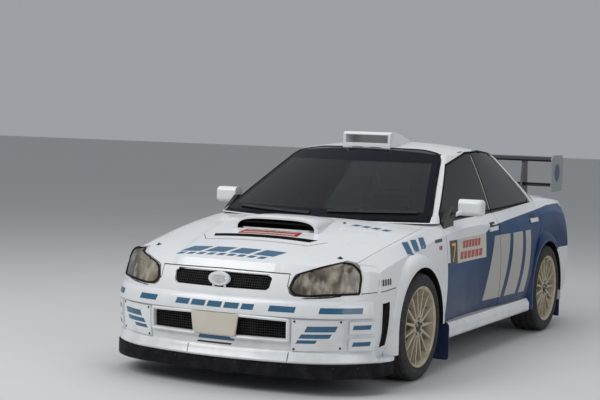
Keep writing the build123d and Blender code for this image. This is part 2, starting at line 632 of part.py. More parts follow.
def wheel(x, y):
    """A left-hand wheel: rim, spokes, hub and brake disc."""
    half = TYRE_WIDTH / 2 - 8
    rim = AXLE_HEIGHT + RIM_RADIUS
    face = x + half - 14
    inner = HUB_RADIUS - 8
    outer = RIM_RADIUS - 16
    with BuildPart() as made:
        with BuildSketch(Plane.XZ.offset(-y)):
            with BuildLine():
                Polyline(
                    (x - half, rim), (x - half, rim - 13), (x - half + 30, rim - 28), (face - 40, rim - 28),
                    (x + half - 8, rim - 16), (x + half, rim - 4), (x + half, rim), (x + half - 6, rim),
                    (x + half - 8, rim - 12), (x - half + 8, rim - 12), (x - half + 6, rim), (x - half, rim),
                )
            make_face()
        revolve(axis=Axis((0, y, AXLE_HEIGHT), (1, 0, 0)))
        with BuildSketch(Plane(origin=(face - 30, y, AXLE_HEIGHT), x_dir=(0, 1, 0), z_dir=(1, 0, 0))):
            Circle(HUB_RADIUS)
            with PolarLocations(0, SPOKES):
                Polygon((inner, -9), (outer, -6), (outer, 6), (inner, 9), align=None)
        extrude(amount=26)
        with BuildSketch(Plane(origin=(x - 32, y, AXLE_HEIGHT), x_dir=(0, 1, 0), z_dir=(1, 0, 0))):
            Circle(46)
        extrude(amount=face - 28 - (x - 32))
        with BuildSketch(Plane(origin=(x - 32 - DISC_THICKNESS, y, AXLE_HEIGHT), x_dir=(0, 1, 0), z_dir=(1, 0, 0))):
            Circle(DISC_RADIUS)
            Circle(70, mode=Mode.SUBTRACT)
        extrude(amount=DISC_THICKNESS)
        with BuildSketch(Plane(origin=(x - 40, y, AXLE_HEIGHT), x_dir=(0, 1, 0), z_dir=(1, 0, 0))):
            Circle(80)
        extrude(amount=8)
    return made.part


WHEEL_X = HALF_WIDTH - TYRE_WIDTH / 2
front_tyre = tyre(WHEEL_X, FRONT_AXLE)
rear_tyre = tyre(WHEEL_X, REAR_AXLE)
front_wheel = wheel(WHEEL_X, FRONT_AXLE)
rear_wheel = wheel(WHEEL_X, REAR_AXLE)

# Steering swivel: it leans inwards from the ball joint to the strut top
SWIVEL_LOW = (684, FRONT_AXLE, 190)
SWIVEL_TOP = (600, FRONT_AXLE, 690)


def swivel_point(z):
    """The point on the left swivel axis at a height."""
    t = (z - SWIVEL_LOW[2]) / (SWIVEL_TOP[2] - SWIVEL_LOW[2])
    return tuple(a + (b - a) * t for a, b in zip(SWIVEL_LOW, SWIVEL_TOP))


def carrier(y, low, strut_low, strut_top):
    """A left-hand hub carrier with its strut and brake caliper."""
    hub_x = WHEEL_X - 32 - DISC_THICKNESS
    body = fused(
        cross_cylinder(y, AXLE_HEIGHT, 48, hub_x - 50, hub_x - 4),
        rod(low, strut_low, 22),
        rod(strut_low, strut_top, 24),
    )
    caliper = cut(
        side_solid([(y + 96, AXLE_HEIGHT - 60), (y + 190, AXLE_HEIGHT - 60), (y + 190, AXLE_HEIGHT + 60),
                    (y + 96, AXLE_HEIGHT + 60)], hub_x - 34, hub_x + DISC_THICKNESS + 20, radius=16),
        cross_cylinder(y, AXLE_HEIGHT, DISC_RADIUS + 6, hub_x - 6, hub_x + DISC_THICKNESS + 6),
    )
    bracket = block(hub_x - 34, hub_x - 10, y + 20, y + 120, AXLE_HEIGHT - 24, AXLE_HEIGHT + 24)
    return fused(body, bracket, caliper)


knuckle_left = carrier(FRONT_AXLE, swivel_point(200), swivel_point(330), swivel_point(686))
rear_carrier = common(
    carrier(REAR_AXLE, (684, REAR_AXLE, 226), (650, REAR_AXLE, 330), (622, REAR_AXLE, 740)),
    cross_cylinder(REAR_AXLE, AXLE_HEIGHT, WHEELHOUSE_RADIUS, REAR_WHEELHOUSE, HALF_WIDTH),
)

front_arm_x = SWIVEL_LOW[0]
front_arms = fused(
    rod((440, FRONT_AXLE - 90, 182), (front_arm_x, FRONT_AXLE, 170), 11),
    rod((440, FRONT_AXLE + 130, 182), (front_arm_x, FRONT_AXLE, 170), 11),
    top_solid([(front_arm_x - 20, FRONT_AXLE - 20), (front_arm_x + 20, FRONT_AXLE - 20),
               (front_arm_x + 20, FRONT_AXLE + 20), (front_arm_x - 20, FRONT_AXLE + 20)], 156, 184, radius=15),
    block(-1, 450, FRONT_AXLE - 110, FRONT_AXLE - 50, 172, 222),
    block(380, 450, FRONT_AXLE - 50, FRONT_AXLE + 150, 172, 222),
)
front_arms = common(front_arms, block(0, WIDE, -WIDE * 2, 0, 0, HIGH))
rear_arms = fused(
    rod((440, REAR_AXLE - 150, 197), (684, REAR_AXLE, 226), 11),
    rod((440, REAR_AXLE + 110, 197), (684, REAR_AXLE, 226), 11),
    block(-1, 460, REAR_AXLE + 70, REAR_AXLE + 140, 180, 218),
    block(390, 460, CABIN_REAR - 60, REAR_AXLE + 70, 180, 218),
    rear_carrier,
)
rear_arms = common(rear_arms, block(0, WIDE, 0, WIDE * 2, 0, HIGH))

# Inside the cabin
FLOOR = 236
SEAT_X = 350


def bucket_seat():
    """A left-hand bucket seat on its mounting frame."""
    shell = side_solid(
        [(-360, 330), (-340, 372), (-60, 340), (90, 420), (260, 1000), (310, 1130), (365, 1120), (190, 420),
         (120, 290), (-330, 290)],
        SEAT_X - 190, SEAT_X + 190, radius=12,
    )
    sides = fused(
        *[
            side_solid(
                [(-350, 300), (-330, 430), (-90, 470), (20, 560), (120, 900), (180, 940), (260, 900), (170, 400), (120, 300)],
                x0, x0 + 40, radius=18,
            )
            for x0 in (SEAT_X - 230, SEAT_X + 190)
        ]
    )
    ears = fused(
        *[
            side_solid([(230, 920), (190, 990), (230, 1090), (310, 1120), (350, 1100), (290, 920)], x0, x0 + 34, radius=14)
            for x0 in (SEAT_X - 184, SEAT_X + 150)
        ]
    )
    frame = fused(*[block(SEAT_X + s * 170 - 15, SEAT_X + s * 170 + 15, -310, 90, FLOOR, 292) for s in (-1, 1)])
    return fused(shell, sides, ears, frame)


seat = bucket_seat()
CAGE_TUBE = 19
hoop_foot = (640, 350, FLOOR)
hoop_waist = (628, 375, 920)
hoop_top = (500, 392, 1278)
screen_top = (486, -70, 1252)
screen_foot = (655, -600, 940)
sill_foot = (660, -600, FLOOR)
shelf_foot = (520, 1100, 870)
CAGE_RUNS = [
    (hoop_foot, hoop_waist), (hoop_waist, hoop_top), (hoop_top, (-1, 392, 1278)), (hoop_top, screen_top),
    (screen_top, (-1, -70, 1262)), (screen_top, screen_foot), (screen_foot, sill_foot), (hoop_top, shelf_foot),
    ((658, -600, 560), (638, 354, 330)), ((658, -600, 330), (634, 362, 560)), (screen_foot, (-1, -600, 940)),
    (hoop_waist, (-1, 375, 920)),
]
cage_half = fused(
    *[rod(start, end, CAGE_TUBE) for start, end in CAGE_RUNS],
    Pos(*hoop_waist) * Sphere(CAGE_TUBE + 3),
    *[Pos(*corner) * Sphere(CAGE_TUBE + 3, rotation=(90, 0, 0)) for corner in (hoop_top, screen_top, screen_foot)],
)
cage_half = common(cage_half, block(0, WIDE, -WIDE, 1129, FLOOR, HIGH))
DASH = [(CABIN_FRONT, 640), (CABIN_FRONT, 850), (-640, 880), (-500, 868), (-450, 830), (-470, 760), (-560, 640)]
COLUMN_X = SEAT_X
wheel_centre = Vector(COLUMN_X, -300, 800)
column_axis = Vector(0, 0.92, 0.39)
column_start = wheel_centre - column_axis * 230
dash_half = side_solid(DASH, 0, 600, radius=16)
column = rod(tuple(column_start), tuple(wheel_centre - column_axis * 36), 26)


def steering_wheel_form():
    """A three-spoke steering wheel on its hub."""
    plane = Plane(origin=wheel_centre, x_dir=(1, 0, 0), z_dir=column_axis)
    with BuildPart() as made:
        with BuildSketch(Plane(origin=wheel_centre, x_dir=(1, 0, 0), z_dir=plane.y_dir)):
            with Locations((160, 0)):
                Circle(14)
        revolve(axis=Axis(wheel_centre, column_axis))
        with BuildSketch(plane.offset(-5)):
            Circle(34)
            for turn in (0, 180, 270):
                with Locations(Location((0, 0), turn)):
                    with Locations((78, 0)):
                        Rectangle(140, 26)
        extrude(amount=6)
        with BuildSketch(plane.offset(-30)):
            Circle(24)
        extrude(amount=30)
    return made.part


# Engine, exhaust and the rest
EXHAUST_RADIUS = 30
MUFFLER_X = -400
exhaust_form = fused(
    rod((0, -830, 262), (0, 1180, 262), EXHAUST_RADIUS),
    rod((0, 1180, 262), (0, 1480, 300), EXHAUST_RADIUS),
    rod((0, 1470, 300), (MUFFLER_X, 1640, 300), EXHAUST_RADIUS),
    rod((MUFFLER_X, 1620, 300), (MUFFLER_X, 2040, 300), 80),
    rod((MUFFLER_X, 2020, 262), (MUFFLER_X, TAIL - 12, 250), 42),
    rod((MUFFLER_X, 1850, 370), (MUFFLER_X, 1850, BOOT_FLOOR - 24), 10),
    rod((0, -600, 280), (0, -600, 300), 10),
)

ENGINE = (-1950, -1360, 236, 560)
ENGINE_HALF = 330

LEFT_PIECES = {
    "door_front": front_door,
    "door_rear": rear_door,
    "glass_front": front_glass,
    "glass_rear": rear_glass,
    "mirror": mirror_form,
    "wheel_front": front_wheel,
    "wheel_rear": rear_wheel,
    "tyre_front": front_tyre,
    "tyre_rear": rear_tyre,
    "knuckle": knuckle_left,
}
JOINED_PIECES = {
    "floor_pan": pan_half,
    "roof_frame": roof_half,
    "quarter_panels": quarter_half,
    "cowl_panel": cowl_half,
    "front_bumper": bumper_half,
    "front_splitter": splitter_half.part,
    "windscreen": windscreen,
    "rear_window": rear_window,
    "roof_vent": vent_half,
    "bonnet": bonnet_half,
    "boot_lid": lid_half,
    "rear_wing": wing_half,
    "front_suspension": front_arms,
    "rear_suspension": rear_arms,
    "roll_cage": cage_half,
}
SEPARATE_PIECES = {
    "side_frames": frame_half,
    "front_wings": front_wing,
    "headlamps": lamp_half,
    "tail_lamps": tail_lamp_half,
    "side_skirts": skirt,
    "mud_flaps": fused(front_flap, rear_flap),
    "seats": seat,
}
rear_bumper_full = cut(
    joined(rear_bumper_half),
    rod((MUFFLER_X, 2080, 256), (MUFFLER_X, TAIL + 20, 250), 58),
    block(MUFFLER_X - 58, MUFFLER_X + 58, 2080, TAIL + 20, 190, 254),
)
pieces = {
    "rear_bumper": rear_bumper_full,
    "grille": joined(mesh_half),
    "wipers": Compound(children=[*left_wiper.solids(), *right_wiper.solids()]),
    "dashboard": fused(joined(dash_half), column),
    "steering_wheel": steering_wheel_form(),
    "engine_block": block(-ENGINE_HALF, ENGINE_HALF, *ENGINE),
    "exhaust": exhaust_form,
}
for name, part in LEFT_PIECES.items():
    pieces[name + "_left"] = part
    pieces[name + "_right"] = mirrored(part)
for name, part in JOINED_PIECES.items():
    pieces[name] = joined(part)
for name, part in SEPARATE_PIECES.items():
    pieces[name] = both_sides(part)

os.makedirs("parts", exist_ok=True)
for name, part in pieces.items():
    part.label = name
    export_step(part, f"parts/{name}.step")
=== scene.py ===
"""Looks of a four-door rally saloon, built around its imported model.

Metres, in the model's own frame: +X is the car's left, +Y its rear, +Z up, the ground at z = 0.
"""

import json
from functools import partial, reduce
from math import cos, radians, sin, tau

import bmesh
import bpy
from mathutils import Matrix, Vector
from mathutils.bvhtree import BVHTree

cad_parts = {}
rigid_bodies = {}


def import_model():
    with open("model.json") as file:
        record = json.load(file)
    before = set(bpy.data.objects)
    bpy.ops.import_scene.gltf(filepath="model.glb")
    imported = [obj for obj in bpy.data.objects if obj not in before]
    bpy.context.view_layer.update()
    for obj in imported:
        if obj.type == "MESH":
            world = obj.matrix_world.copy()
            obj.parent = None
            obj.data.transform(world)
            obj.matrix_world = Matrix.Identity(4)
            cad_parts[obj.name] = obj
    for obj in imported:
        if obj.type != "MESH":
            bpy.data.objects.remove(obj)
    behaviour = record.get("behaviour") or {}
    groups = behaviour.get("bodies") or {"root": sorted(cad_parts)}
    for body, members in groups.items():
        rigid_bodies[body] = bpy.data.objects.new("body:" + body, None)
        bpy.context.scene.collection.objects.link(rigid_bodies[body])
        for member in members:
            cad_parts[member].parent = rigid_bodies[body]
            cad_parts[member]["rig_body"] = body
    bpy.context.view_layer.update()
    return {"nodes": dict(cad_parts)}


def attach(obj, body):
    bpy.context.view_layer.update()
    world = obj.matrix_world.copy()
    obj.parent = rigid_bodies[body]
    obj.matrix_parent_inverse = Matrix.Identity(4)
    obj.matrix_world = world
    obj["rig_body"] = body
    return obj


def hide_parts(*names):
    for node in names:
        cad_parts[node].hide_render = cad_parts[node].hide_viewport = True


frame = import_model()
nodes = frame["nodes"]

SIDES = (("left", 1), ("right", -1))
AXLES = {"front": -1.2875, "rear": 1.2525}
AXLE_HEIGHT = 0.320
WHEEL_X = 0.7725
TYRE_RADIUS = 0.320
TYRE_WIDTH = 0.225
RIM_RADIUS = 0.242
ARCH_RADIUS = 0.352
ARCH_MARGIN = 0.002

# Lines of sight start this far out, the nose's meet at this y, and normals turn from the cabin's middle
FAR = 3.0
NOSE_CENTRE = -1.2
CABIN_MIDDLE = Vector((0, 0.1, 0.8))
# Rounds of smoothing over bridged gaps, and the angle in degrees from which an edge is sharp
SOFTEN = 6
SHARP_ANGLE = 38

# How thick a film is, and how high panels and marks lie over the paint
FILM = 0.0004
PANEL_LIFT = 0.0006
MARK_LIFT = 0.0008
TOP_MARK_LIFT = 0.0014

WHITE = (0.74, 0.75, 0.76)
CREAM = (0.50, 0.44, 0.32)
DEEP_BLUE = (0.002, 0.028, 0.098)
# The lighter blue of the painted sheen along the top of the side sweep
SHEEN_BLUE = (0.004, 0.052, 0.145)
TEAL_BLUE = (0.008, 0.095, 0.190)
PALE_FIELD = (0.42, 0.41, 0.38)
BLACK = (0.012, 0.012, 0.013)
RED = (0.42, 0.025, 0.03)
YELLOW = (0.80, 0.47, 0.03)
DUST = (0.30, 0.27, 0.23)


def shaded(colour, share):
    """A darker colour of the same hue."""
    return tuple(c * share for c in colour)


class Finish:
    """A procedural material, written node by node."""

    def __init__(self, name, **sockets):
        self.material = bpy.data.materials.new(name)
        self.material.use_nodes = True
        self.tree = self.material.node_tree
        self.shader = self.tree.nodes["Principled BSDF"]
        self.place = self.node("ShaderNodeTexCoord").outputs["Object"]
        for socket, value in sockets.items():
            self.feed(value, self.shader.inputs[socket.replace("_", " ")])

    def node(self, kind, *inputs, **settings):
        """Adds a node; the inputs are numbers or outputs of other nodes."""
        made = self.tree.nodes.new(kind)
        for name, value in settings.items():
            setattr(made, name, value)
        for socket, value in zip(made.inputs, inputs):
            self.feed(value, socket)
        return made

    def feed(self, value, socket):
        """Sets a socket, or links an output to it."""
        if isinstance(value, bpy.types.NodeSocket):
            self.tree.links.new(value, socket)
        else:
            socket.default_value = (*value, 1) if isinstance(value, tuple) and len(value) == 3 else value

    def math(self, operation, a, b=0.0, c=0.0):
        return self.node("ShaderNodeMath", a, b, c, operation=operation).outputs[0]

    def plus(self, a, b, share=1.0):
        """The first value plus a share of the second."""
        return self.math("MULTIPLY_ADD", b, share, a)

    def noise(self, scale, detail, stretch=(1, 1, 1)):
        """Fractal noise, from 0 to 1, whose features are about 1/scale metres."""
        where = self.node("ShaderNodeMapping")
        self.feed(self.place, where.inputs["Vector"])
        where.inputs["Scale"].default_value = stretch
        made = self.node("ShaderNodeTexNoise")
        self.feed(where.outputs[0], made.inputs["Vector"])
        made.inputs["Scale"].default_value = scale
        made.inputs["Detail"].default_value = detail
        return made.outputs["Fac"]

    def between(self, value, low, high, at_low=0.0, at_high=1.0, kind="LINEAR"):
        """Maps a value from one range to another, clamped at both ends."""
        made = self.node("ShaderNodeMapRange", interpolation_type=kind)
        names = ("Value", "From Min", "From Max", "To Min", "To Max")
        for name, number in zip(names, (value, low, high, at_low, at_high)):
            self.feed(number, made.inputs[name])
        return made.outputs[0]

    def cloud(self, scale, detail, low, high, at_low=0.0, at_high=1.0, stretch=(1, 1, 1), kind="LINEAR"):
        """Noise between two levels, mapped to another range."""
        return self.between(self.noise(scale, detail, stretch), low, high, at_low, at_high, kind)

    def mix(self, share, a, b):
        """Blends two colours."""
        made = self.node("ShaderNodeMix", data_type="RGBA")
        self.feed(share, made.inputs["Factor"])
        self.feed(a, made.inputs[6])
        self.feed(b, made.inputs[7])
        return made.outputs[2]

    def waves(self, scale, distortion=0.0, **settings):
        """Bands across the surface, from 0 to 1."""
        return self.node("ShaderNodeTexWave", self.place, scale, distortion, **settings).outputs["Fac"]

    def done(self, colour, rough=None, height=None, depth=0.0):
        """The material, with its colour, its roughness as a cloud, and its relief of a depth in metres."""
        self.feed(colour, self.shader.inputs["Base Color"])
        if rough:
            self.feed(self.cloud(*rough), self.shader.inputs["Roughness"])
        if height is not None:
            bump = self.node("ShaderNodeBump")
            bump.inputs["Strength"].default_value = 1.0
            bump.inputs["Distance"].default_value = depth
            self.feed(height, bump.inputs["Height"])
            self.feed(bump.outputs[0], self.shader.inputs["Normal"])
        return self.material

    def axes(self):
        """How far the point is from the centre plane, and its Y and Z."""
        x, y, z = self.node("ShaderNodeSeparateXYZ", self.place).outputs[:]
        return self.math("ABSOLUTE", x), y, z

    def all_of(self, *masks):
        return reduce(partial(self.math, "MULTIPLY"), masks)

    def any_of(self, *masks):
        return reduce(partial(self.math, "MAXIMUM"), masks)

    def above(self, value, limit):
        return self.math("GREATER_THAN", value, limit)

    def below(self, value, limit):
        return self.math("LESS_THAN", value, limit)

    def within(self, value, low, high):
        return self.all_of(self.above(value, low), self.below(value, high))

    def reach(self, a, b, centre_a, centre_b):
        """The distance of two coordinates from a centre."""
        a = self.math("SUBTRACT", a, centre_a)
        b = self.math("SUBTRACT", b, centre_b)
        return self.math("SQRT", self.math("ADD", self.math("MULTIPLY", a, a), self.math("MULTIPLY", b, b)))

    def in_arch(self):
        """1 inside the opening of a wheel arch, where black painted shade goes, and 0 elsewhere."""
        _, y, z = self.axes()
        reaches = [self.reach(y, z, axle, AXLE_HEIGHT) for axle in AXLES.values()]
        return self.any_of(*[self.below(reach, ARCH_RADIUS + ARCH_MARGIN) for reach in reaches])

    def worn(self, colour):
        """A paint colour that is faintly uneven."""
        return self.mix(self.cloud(3, 3, 0.3, 0.7, 0, 0.10), colour, shaded(colour, 0.86))

    def dirty(self, colour, amount):
        """Dust and spray on a painted colour, thicker towards the ground."""
        low = self.between(self.axes()[2], 0.15, 0.60, 0.62, 0.05)
        share = self.math("MULTIPLY", self.all_of(low, self.cloud(9, 8, 0.42, 0.72)), amount)
        return self.mix(share, colour, DUST)


def painted(name, colour, dirt=0.5, arches=False):
    """Glossy car paint in one colour, with road dirt, and black painted shade inside the wheel arches where
    asked.
    """
    finish = Finish(name, Coat_Weight=0.5, Coat_Roughness=0.06)
    shade = finish.dirty(finish.worn(colour), dirt)
    if arches:
        # painted shade: black wherever the surface lies inside a wheel arch's opening
        shade = finish.mix(finish.in_arch(), shade, BLACK)
    return finish.done(shade, (4, 3, 0.3, 0.8, 0.26, 0.40))


def plastic(name, colour, roughness=0.5, grain=900, bump=0.0002, **sockets):
    """Moulded plastic or rubber with a fine grain and dusty patches."""
    finish = Finish(name, **sockets)
    dusty = tuple(0.93 * c + 0.07 * d for c, d in zip(colour, (0.32, 0.29, 0.25)))
    shade = finish.mix(finish.cloud(14, 7, 0.45, 0.8, 0, 0.7), colour, dusty)
    rough = (40, 5, 0.3, 0.75, roughness * 0.8, min(1.0, roughness * 1.25))
    return finish.done(shade, rough, finish.noise(grain, 3), bump)


def metal(name, colour, roughness=0.35, streak=(1, 1, 1)):
    """Bare or plated metal with streaks and darker stains."""
    finish = Finish(name, Metallic=1.0)
    shade = finish.mix(finish.cloud(22, 7, 0.48, 0.78, 0, 0.6), colour, shaded(colour, 0.45))
    rough = (120, 4, 0.25, 0.8, roughness * 0.7, min(1.0, roughness * 1.5), streak)
    return finish.done(shade, rough, finish.noise(300, 4, streak), 0.00015)


# The sweep on each side: where its top edge starts, bends and ends in y, and its heights there. Its bars
# lean back by BAR_LEAN for each metre of height, and BAR_EDGES are their edges in y, as if at the ground
SWEEP_Y = (-0.56, 0.22, 1.50)
SWEEP_Z = (0.655, 0.852, 0.927)
# How far below the sweep's top edge the blue lightens, as painted sheen
SHEEN_DEPTH = 0.26
TAIL_SLOPE = 0.9
TAIL_LIMIT = 2.72
BAR_LEAN = 0.42
BAR_EDGES = ((-0.180, 0.130), (0.195, 0.400), (0.465, 0.585))
BAR_HEIGHTS = (0.345, 0.775)


def side_livery():
    """White paint with a deep blue sweep, lighter at its top edge as painted sheen, over the doors and
    quarter, cut by three pale slanted bars.
    """
    finish = Finish("paint_livery", Coat_Weight=0.08, Coat_Roughness=0.08, Specular_IOR_Level=0.2)
    _, y, z = finish.axes()
    rise = finish.between(y, *SWEEP_Y[:2], *SWEEP_Z[:2], "SMOOTHSTEP")
    crest = finish.plus(rise, finish.between(y, *SWEEP_Y[1:], 0.0, SWEEP_Z[2] - SWEEP_Z[1]))
    field = finish.all_of(finish.below(z, crest), finish.below(finish.plus(y, z, TAIL_SLOPE), TAIL_LIMIT))
    lean = finish.plus(y, z, -BAR_LEAN)
    bars = finish.any_of(*[finish.within(lean, low, high) for low, high in BAR_EDGES])
    bars = finish.all_of(bars, finish.within(z, *BAR_HEIGHTS))
    # painted sheen: the blue sweep is the livery, and it turns lighter over the last 0.26 m below its top
    # edge
    light = finish.between(finish.math("SUBTRACT", crest, z), 0.0, SHEEN_DEPTH, 1, 0, "SMOOTHSTEP")
    shade = finish.mix(field, finish.worn(WHITE), finish.mix(light, DEEP_BLUE, SHEEN_BLUE))
    shade = finish.mix(finish.all_of(field, bars), shade, PALE_FIELD)
    # painted shade: black inside the wheel arches, over the dusty livery
    shade = finish.mix(finish.in_arch(), finish.dirty(shade, 0.35), BLACK)
    return finish.done(shade, (4, 3, 0.3, 0.8, 0.26, 0.40))


def creased_bonnet():
    """White bonnet paint with two pressed creases up to the scoop, and black painted shade inside the scoop's
    opening.
    """
    finish = Finish("paint_bonnet", Coat_Weight=0.5, Coat_Roughness=0.06)
    x, y, z = finish.axes()
    # painted shade: black on the bonnet where it lies inside the scoop's opening
    mouth_shade = finish.all_of(finish.below(x, 0.258), finish.within(y, -1.520, -1.420), finish.above(z, 0.863))
    shade = finish.mix(mouth_shade, finish.dirty(WHITE, 0.3), BLACK)
    past_crease = finish.plus(x, finish.between(y, -2.10, -1.00, 0.330, 0.560), -1)
    height = finish.between(past_crease, -0.022, 0.022, 1, 0, "SMOOTHSTEP")
    return finish.done(shade, (4, 3, 0.3, 0.8, 0.24, 0.38), height, 0.006)


def cast_wheel():
    """Cream wheel paint, with bare iron where the brake disc lies deep behind the spokes."""
    finish = Finish("wheel_cream")
    iron = finish.within(finish.axes()[0], WHEEL_X - 0.060, WHEEL_X - 0.028)
    cream = finish.mix(finish.cloud(18, 8, 0.42, 0.78, 0, 0.65), CREAM, (0.20, 0.17, 0.12))
    finish.feed(finish.math("MULTIPLY", iron, 0.8), finish.shader.inputs["Metallic"])
    return finish.done(finish.mix(iron, cream, (0.075, 0.070, 0.066)), (40, 5, 0.3, 0.8, 0.32, 0.55))


def glass(name, tint_and_shade):
    """Laminated or toughened glass with a thin film of dust, its dark tint partly a painted shade of the
    cabin behind it.
    """
    finish = Finish(name, Transmission_Weight=1.0, IOR=1.45)
    dusty = tuple(0.7 * c + 0.1 for c in tint_and_shade)
    shade = finish.mix(finish.cloud(7, 8, 0.5, 0.85, 0, 0.22), tint_and_shade, dusty)
    return finish.done(shade, (16, 6, 0.45, 0.9, 0.0, 0.12))


def screen_glass():
    """The windscreen: see-through glass tinted dark as painted shade of the cabin, with a dark sun strip
    along its top and a black band at its other edges.
    """
    finish = Finish("glass_screen", IOR=1.45, Specular_IOR_Level=0.1)
    x, _, z = finish.axes()
    at_side = finish.above(finish.plus(x, z, 0.506), 1.152)
    band = finish.any_of(finish.above(z, 1.262), finish.below(z, 0.962), at_side)
    finish.feed(finish.math("SUBTRACT", 1.0, band), finish.shader.inputs["Transmission Weight"])
    # the see-through part's dark tint is painted shade of the cabin; the bands are the screen's own black
    # print
    shade = finish.mix(band, (0.08, 0.105, 0.115), (0.008, 0.010, 0.014))
    return finish.done(shade, (16, 6, 0.5, 0.9, 0.02, 0.10))


def lamp_lens():
    """Smoky gold-brown lamp cover with soft upright reflections painted into its colour, white outside the
    lens's own outline.
    """
    finish = Finish("lamp_lens", Coat_Weight=0.6, Coat_Roughness=0.05, Metallic=0.1)
    # painted highlights: broad soft patches of light and shade, and upright streaks
    broad_sheen = finish.cloud(7, 3, 0.40, 0.66, stretch=(1, 1, 0.8), kind="SMOOTHSTEP")
    streak_highlights = finish.cloud(26, 5, 0.44, 0.72, 0.0, 0.75, (1, 1, 0.28), "SMOOTHSTEP")
    tone = finish.mix(broad_sheen, (0.060, 0.048, 0.034), (0.235, 0.200, 0.145))
    x, _, z = finish.axes()
    outside = finish.any_of(
        finish.above(x, 0.770), finish.below(z, 0.548),
        finish.above(finish.plus(z, x, -0.36), 0.501), finish.above(finish.plus(z, x, 1.1), 1.527),
    )
    shade = finish.mix(outside, finish.mix(streak_highlights, tone, (0.44, 0.40, 0.32)), WHITE)
    return finish.done(shade, (28, 4, 0.35, 0.7, 0.12, 0.30))


def mirror_shell():
    """White mirror housing on a black arm and sail."""
    finish = Finish("mirror_finish", Coat_Weight=0.5, Coat_Roughness=0.06)
    shade = finish.mix(finish.above(finish.axes()[0], 0.811), BLACK, WHITE)
    return finish.done(shade, (6, 3, 0.3, 0.8, 0.28, 0.42))


def tyre_rubber():
    """Black rubber with greyer patches."""
    finish = Finish("tyre_rubber")
    shade = finish.mix(finish.cloud(35, 8, 0.4, 0.8), (0.018, 0.018, 0.018), (0.050, 0.047, 0.043))
    return finish.done(shade, (60, 5, 0.3, 0.7, 0.60, 0.88), finish.noise(700, 3), 0.0003)


def cloth(name, colour):
    """Woven seat cloth."""
    finish = Finish(name, Sheen_Weight=0.4, Sheen_Roughness=0.5)
    weave = finish.waves(160, 2)
    shade = finish.mix(weave, colour, shaded(colour, 0.55))
    return finish.done(shade, (50, 4, 0.3, 0.7, 0.80, 0.95), weave, 0.0006)


def tail_lens():
    """Ribbed red lamp lens with an amber band."""
    finish = Finish("lens_red", Coat_Weight=0.6, Coat_Roughness=0.05)
    ribs = finish.waves(40, bands_direction="Z")
    amber = finish.within(finish.axes()[2], 0.752, 0.800)
    red = finish.mix(ribs, (0.36, 0.010, 0.012), (0.20, 0.004, 0.006))
    shade = finish.mix(amber, red, (0.60, 0.20, 0.03))
    return finish.done(shade, (30, 4, 0.3, 0.7, 0.12, 0.28), ribs, 0.0015)


def two_tone_wing():
    """Black blades between grey-white end plates with a blue spot."""
    finish = Finish("wing_finish", Coat_Weight=0.5, Coat_Roughness=0.1)
    x, y, z = finish.axes()
    spot = finish.below(finish.reach(y, z, 2.02, 1.16), 0.070)
    plate = finish.mix(spot, (0.26, 0.28, 0.28), DEEP_BLUE)
    shade = finish.mix(finish.above(x, 0.6895), (0.014, 0.015, 0.018), plate)
    return finish.done(shade, (50, 5, 0.3, 0.8, 0.24, 0.45), finish.noise(400, 2), 0.0001)


MATERIALS = {
    "white": painted("paint_white", WHITE),
    # white paint with black painted shade inside the wheel arches
    "white_arch_shade": painted("paint_white_arch_shade", WHITE, arches=True),
    "livery": side_livery(),
    "blue": painted("paint_blue", TEAL_BLUE, 0.3),
    "black_paint": painted("paint_black", BLACK, 0.2),
    "red": painted("paint_red", RED, 0.2),
    "yellow": painted("paint_yellow", YELLOW, 0.2),
    "pale": painted("paint_pale", (0.60, 0.56, 0.47), 0.3),
    "primer": plastic("pan_primer", (0.040, 0.041, 0.044), 0.6, 300, 0.0004),
    "cage": painted("cage_paint", (0.30, 0.32, 0.34), 0.1),
    "trim": plastic("trim_black", (0.014, 0.014, 0.015), 0.42),
    "seal": plastic("seal_rubber", (0.004, 0.004, 0.004), 0.7, Specular_IOR_Level=0.2),
    # black plastic, darkened further as painted shade under the nose
    "splitter": plastic("splitter_black", (0.003, 0.003, 0.005), 0.7, 500, 0.0004, Specular_IOR_Level=0.2),
    # near-black painted shade of openings: behind the grille's wires, in the slots and in the scoop's throat
    "mesh": plastic("mesh_black", (0.001, 0.001, 0.001), 0.9, Specular_IOR_Level=0.1),
    "flap": plastic("flap_blue", (0.006, 0.016, 0.075), 0.6, 400, 0.0005),
    "dash": plastic("dash_flock", (0.020, 0.020, 0.022), 0.9, 1500, 0.0003),
    "screen": screen_glass(),
    # both tints are far darker than glass: painted shade of the cabin seen through them
    "side_glass": glass("glass_side", (0.010, 0.012, 0.014)),
    "rear_glass": glass("glass_rear", (0.06, 0.07, 0.075)),
    "lens": lamp_lens(),
    "bonnet": creased_bonnet(),
    "wheel": cast_wheel(),
    "tail": tail_lens(),
    "tyre": tyre_rubber(),
    "seat": cloth("seat_cloth", (0.020, 0.028, 0.070)),
    "alloy": metal("engine_alloy", (0.40, 0.40, 0.40), 0.45),
    "exhaust": metal("exhaust_steel", (0.42, 0.36, 0.30), 0.34, (1, 0.1, 1)),
    "chassis": plastic("chassis_black", (0.020, 0.020, 0.022), 0.45, 300, 0.0003),
    "steel": metal("bolt_steel", (0.52, 0.52, 0.53), 0.30),
    "wing": two_tone_wing(),
    "silver": metal("mirror_silver", (0.80, 0.80, 0.80), 0.04),
    "mirror": mirror_shell(),
}
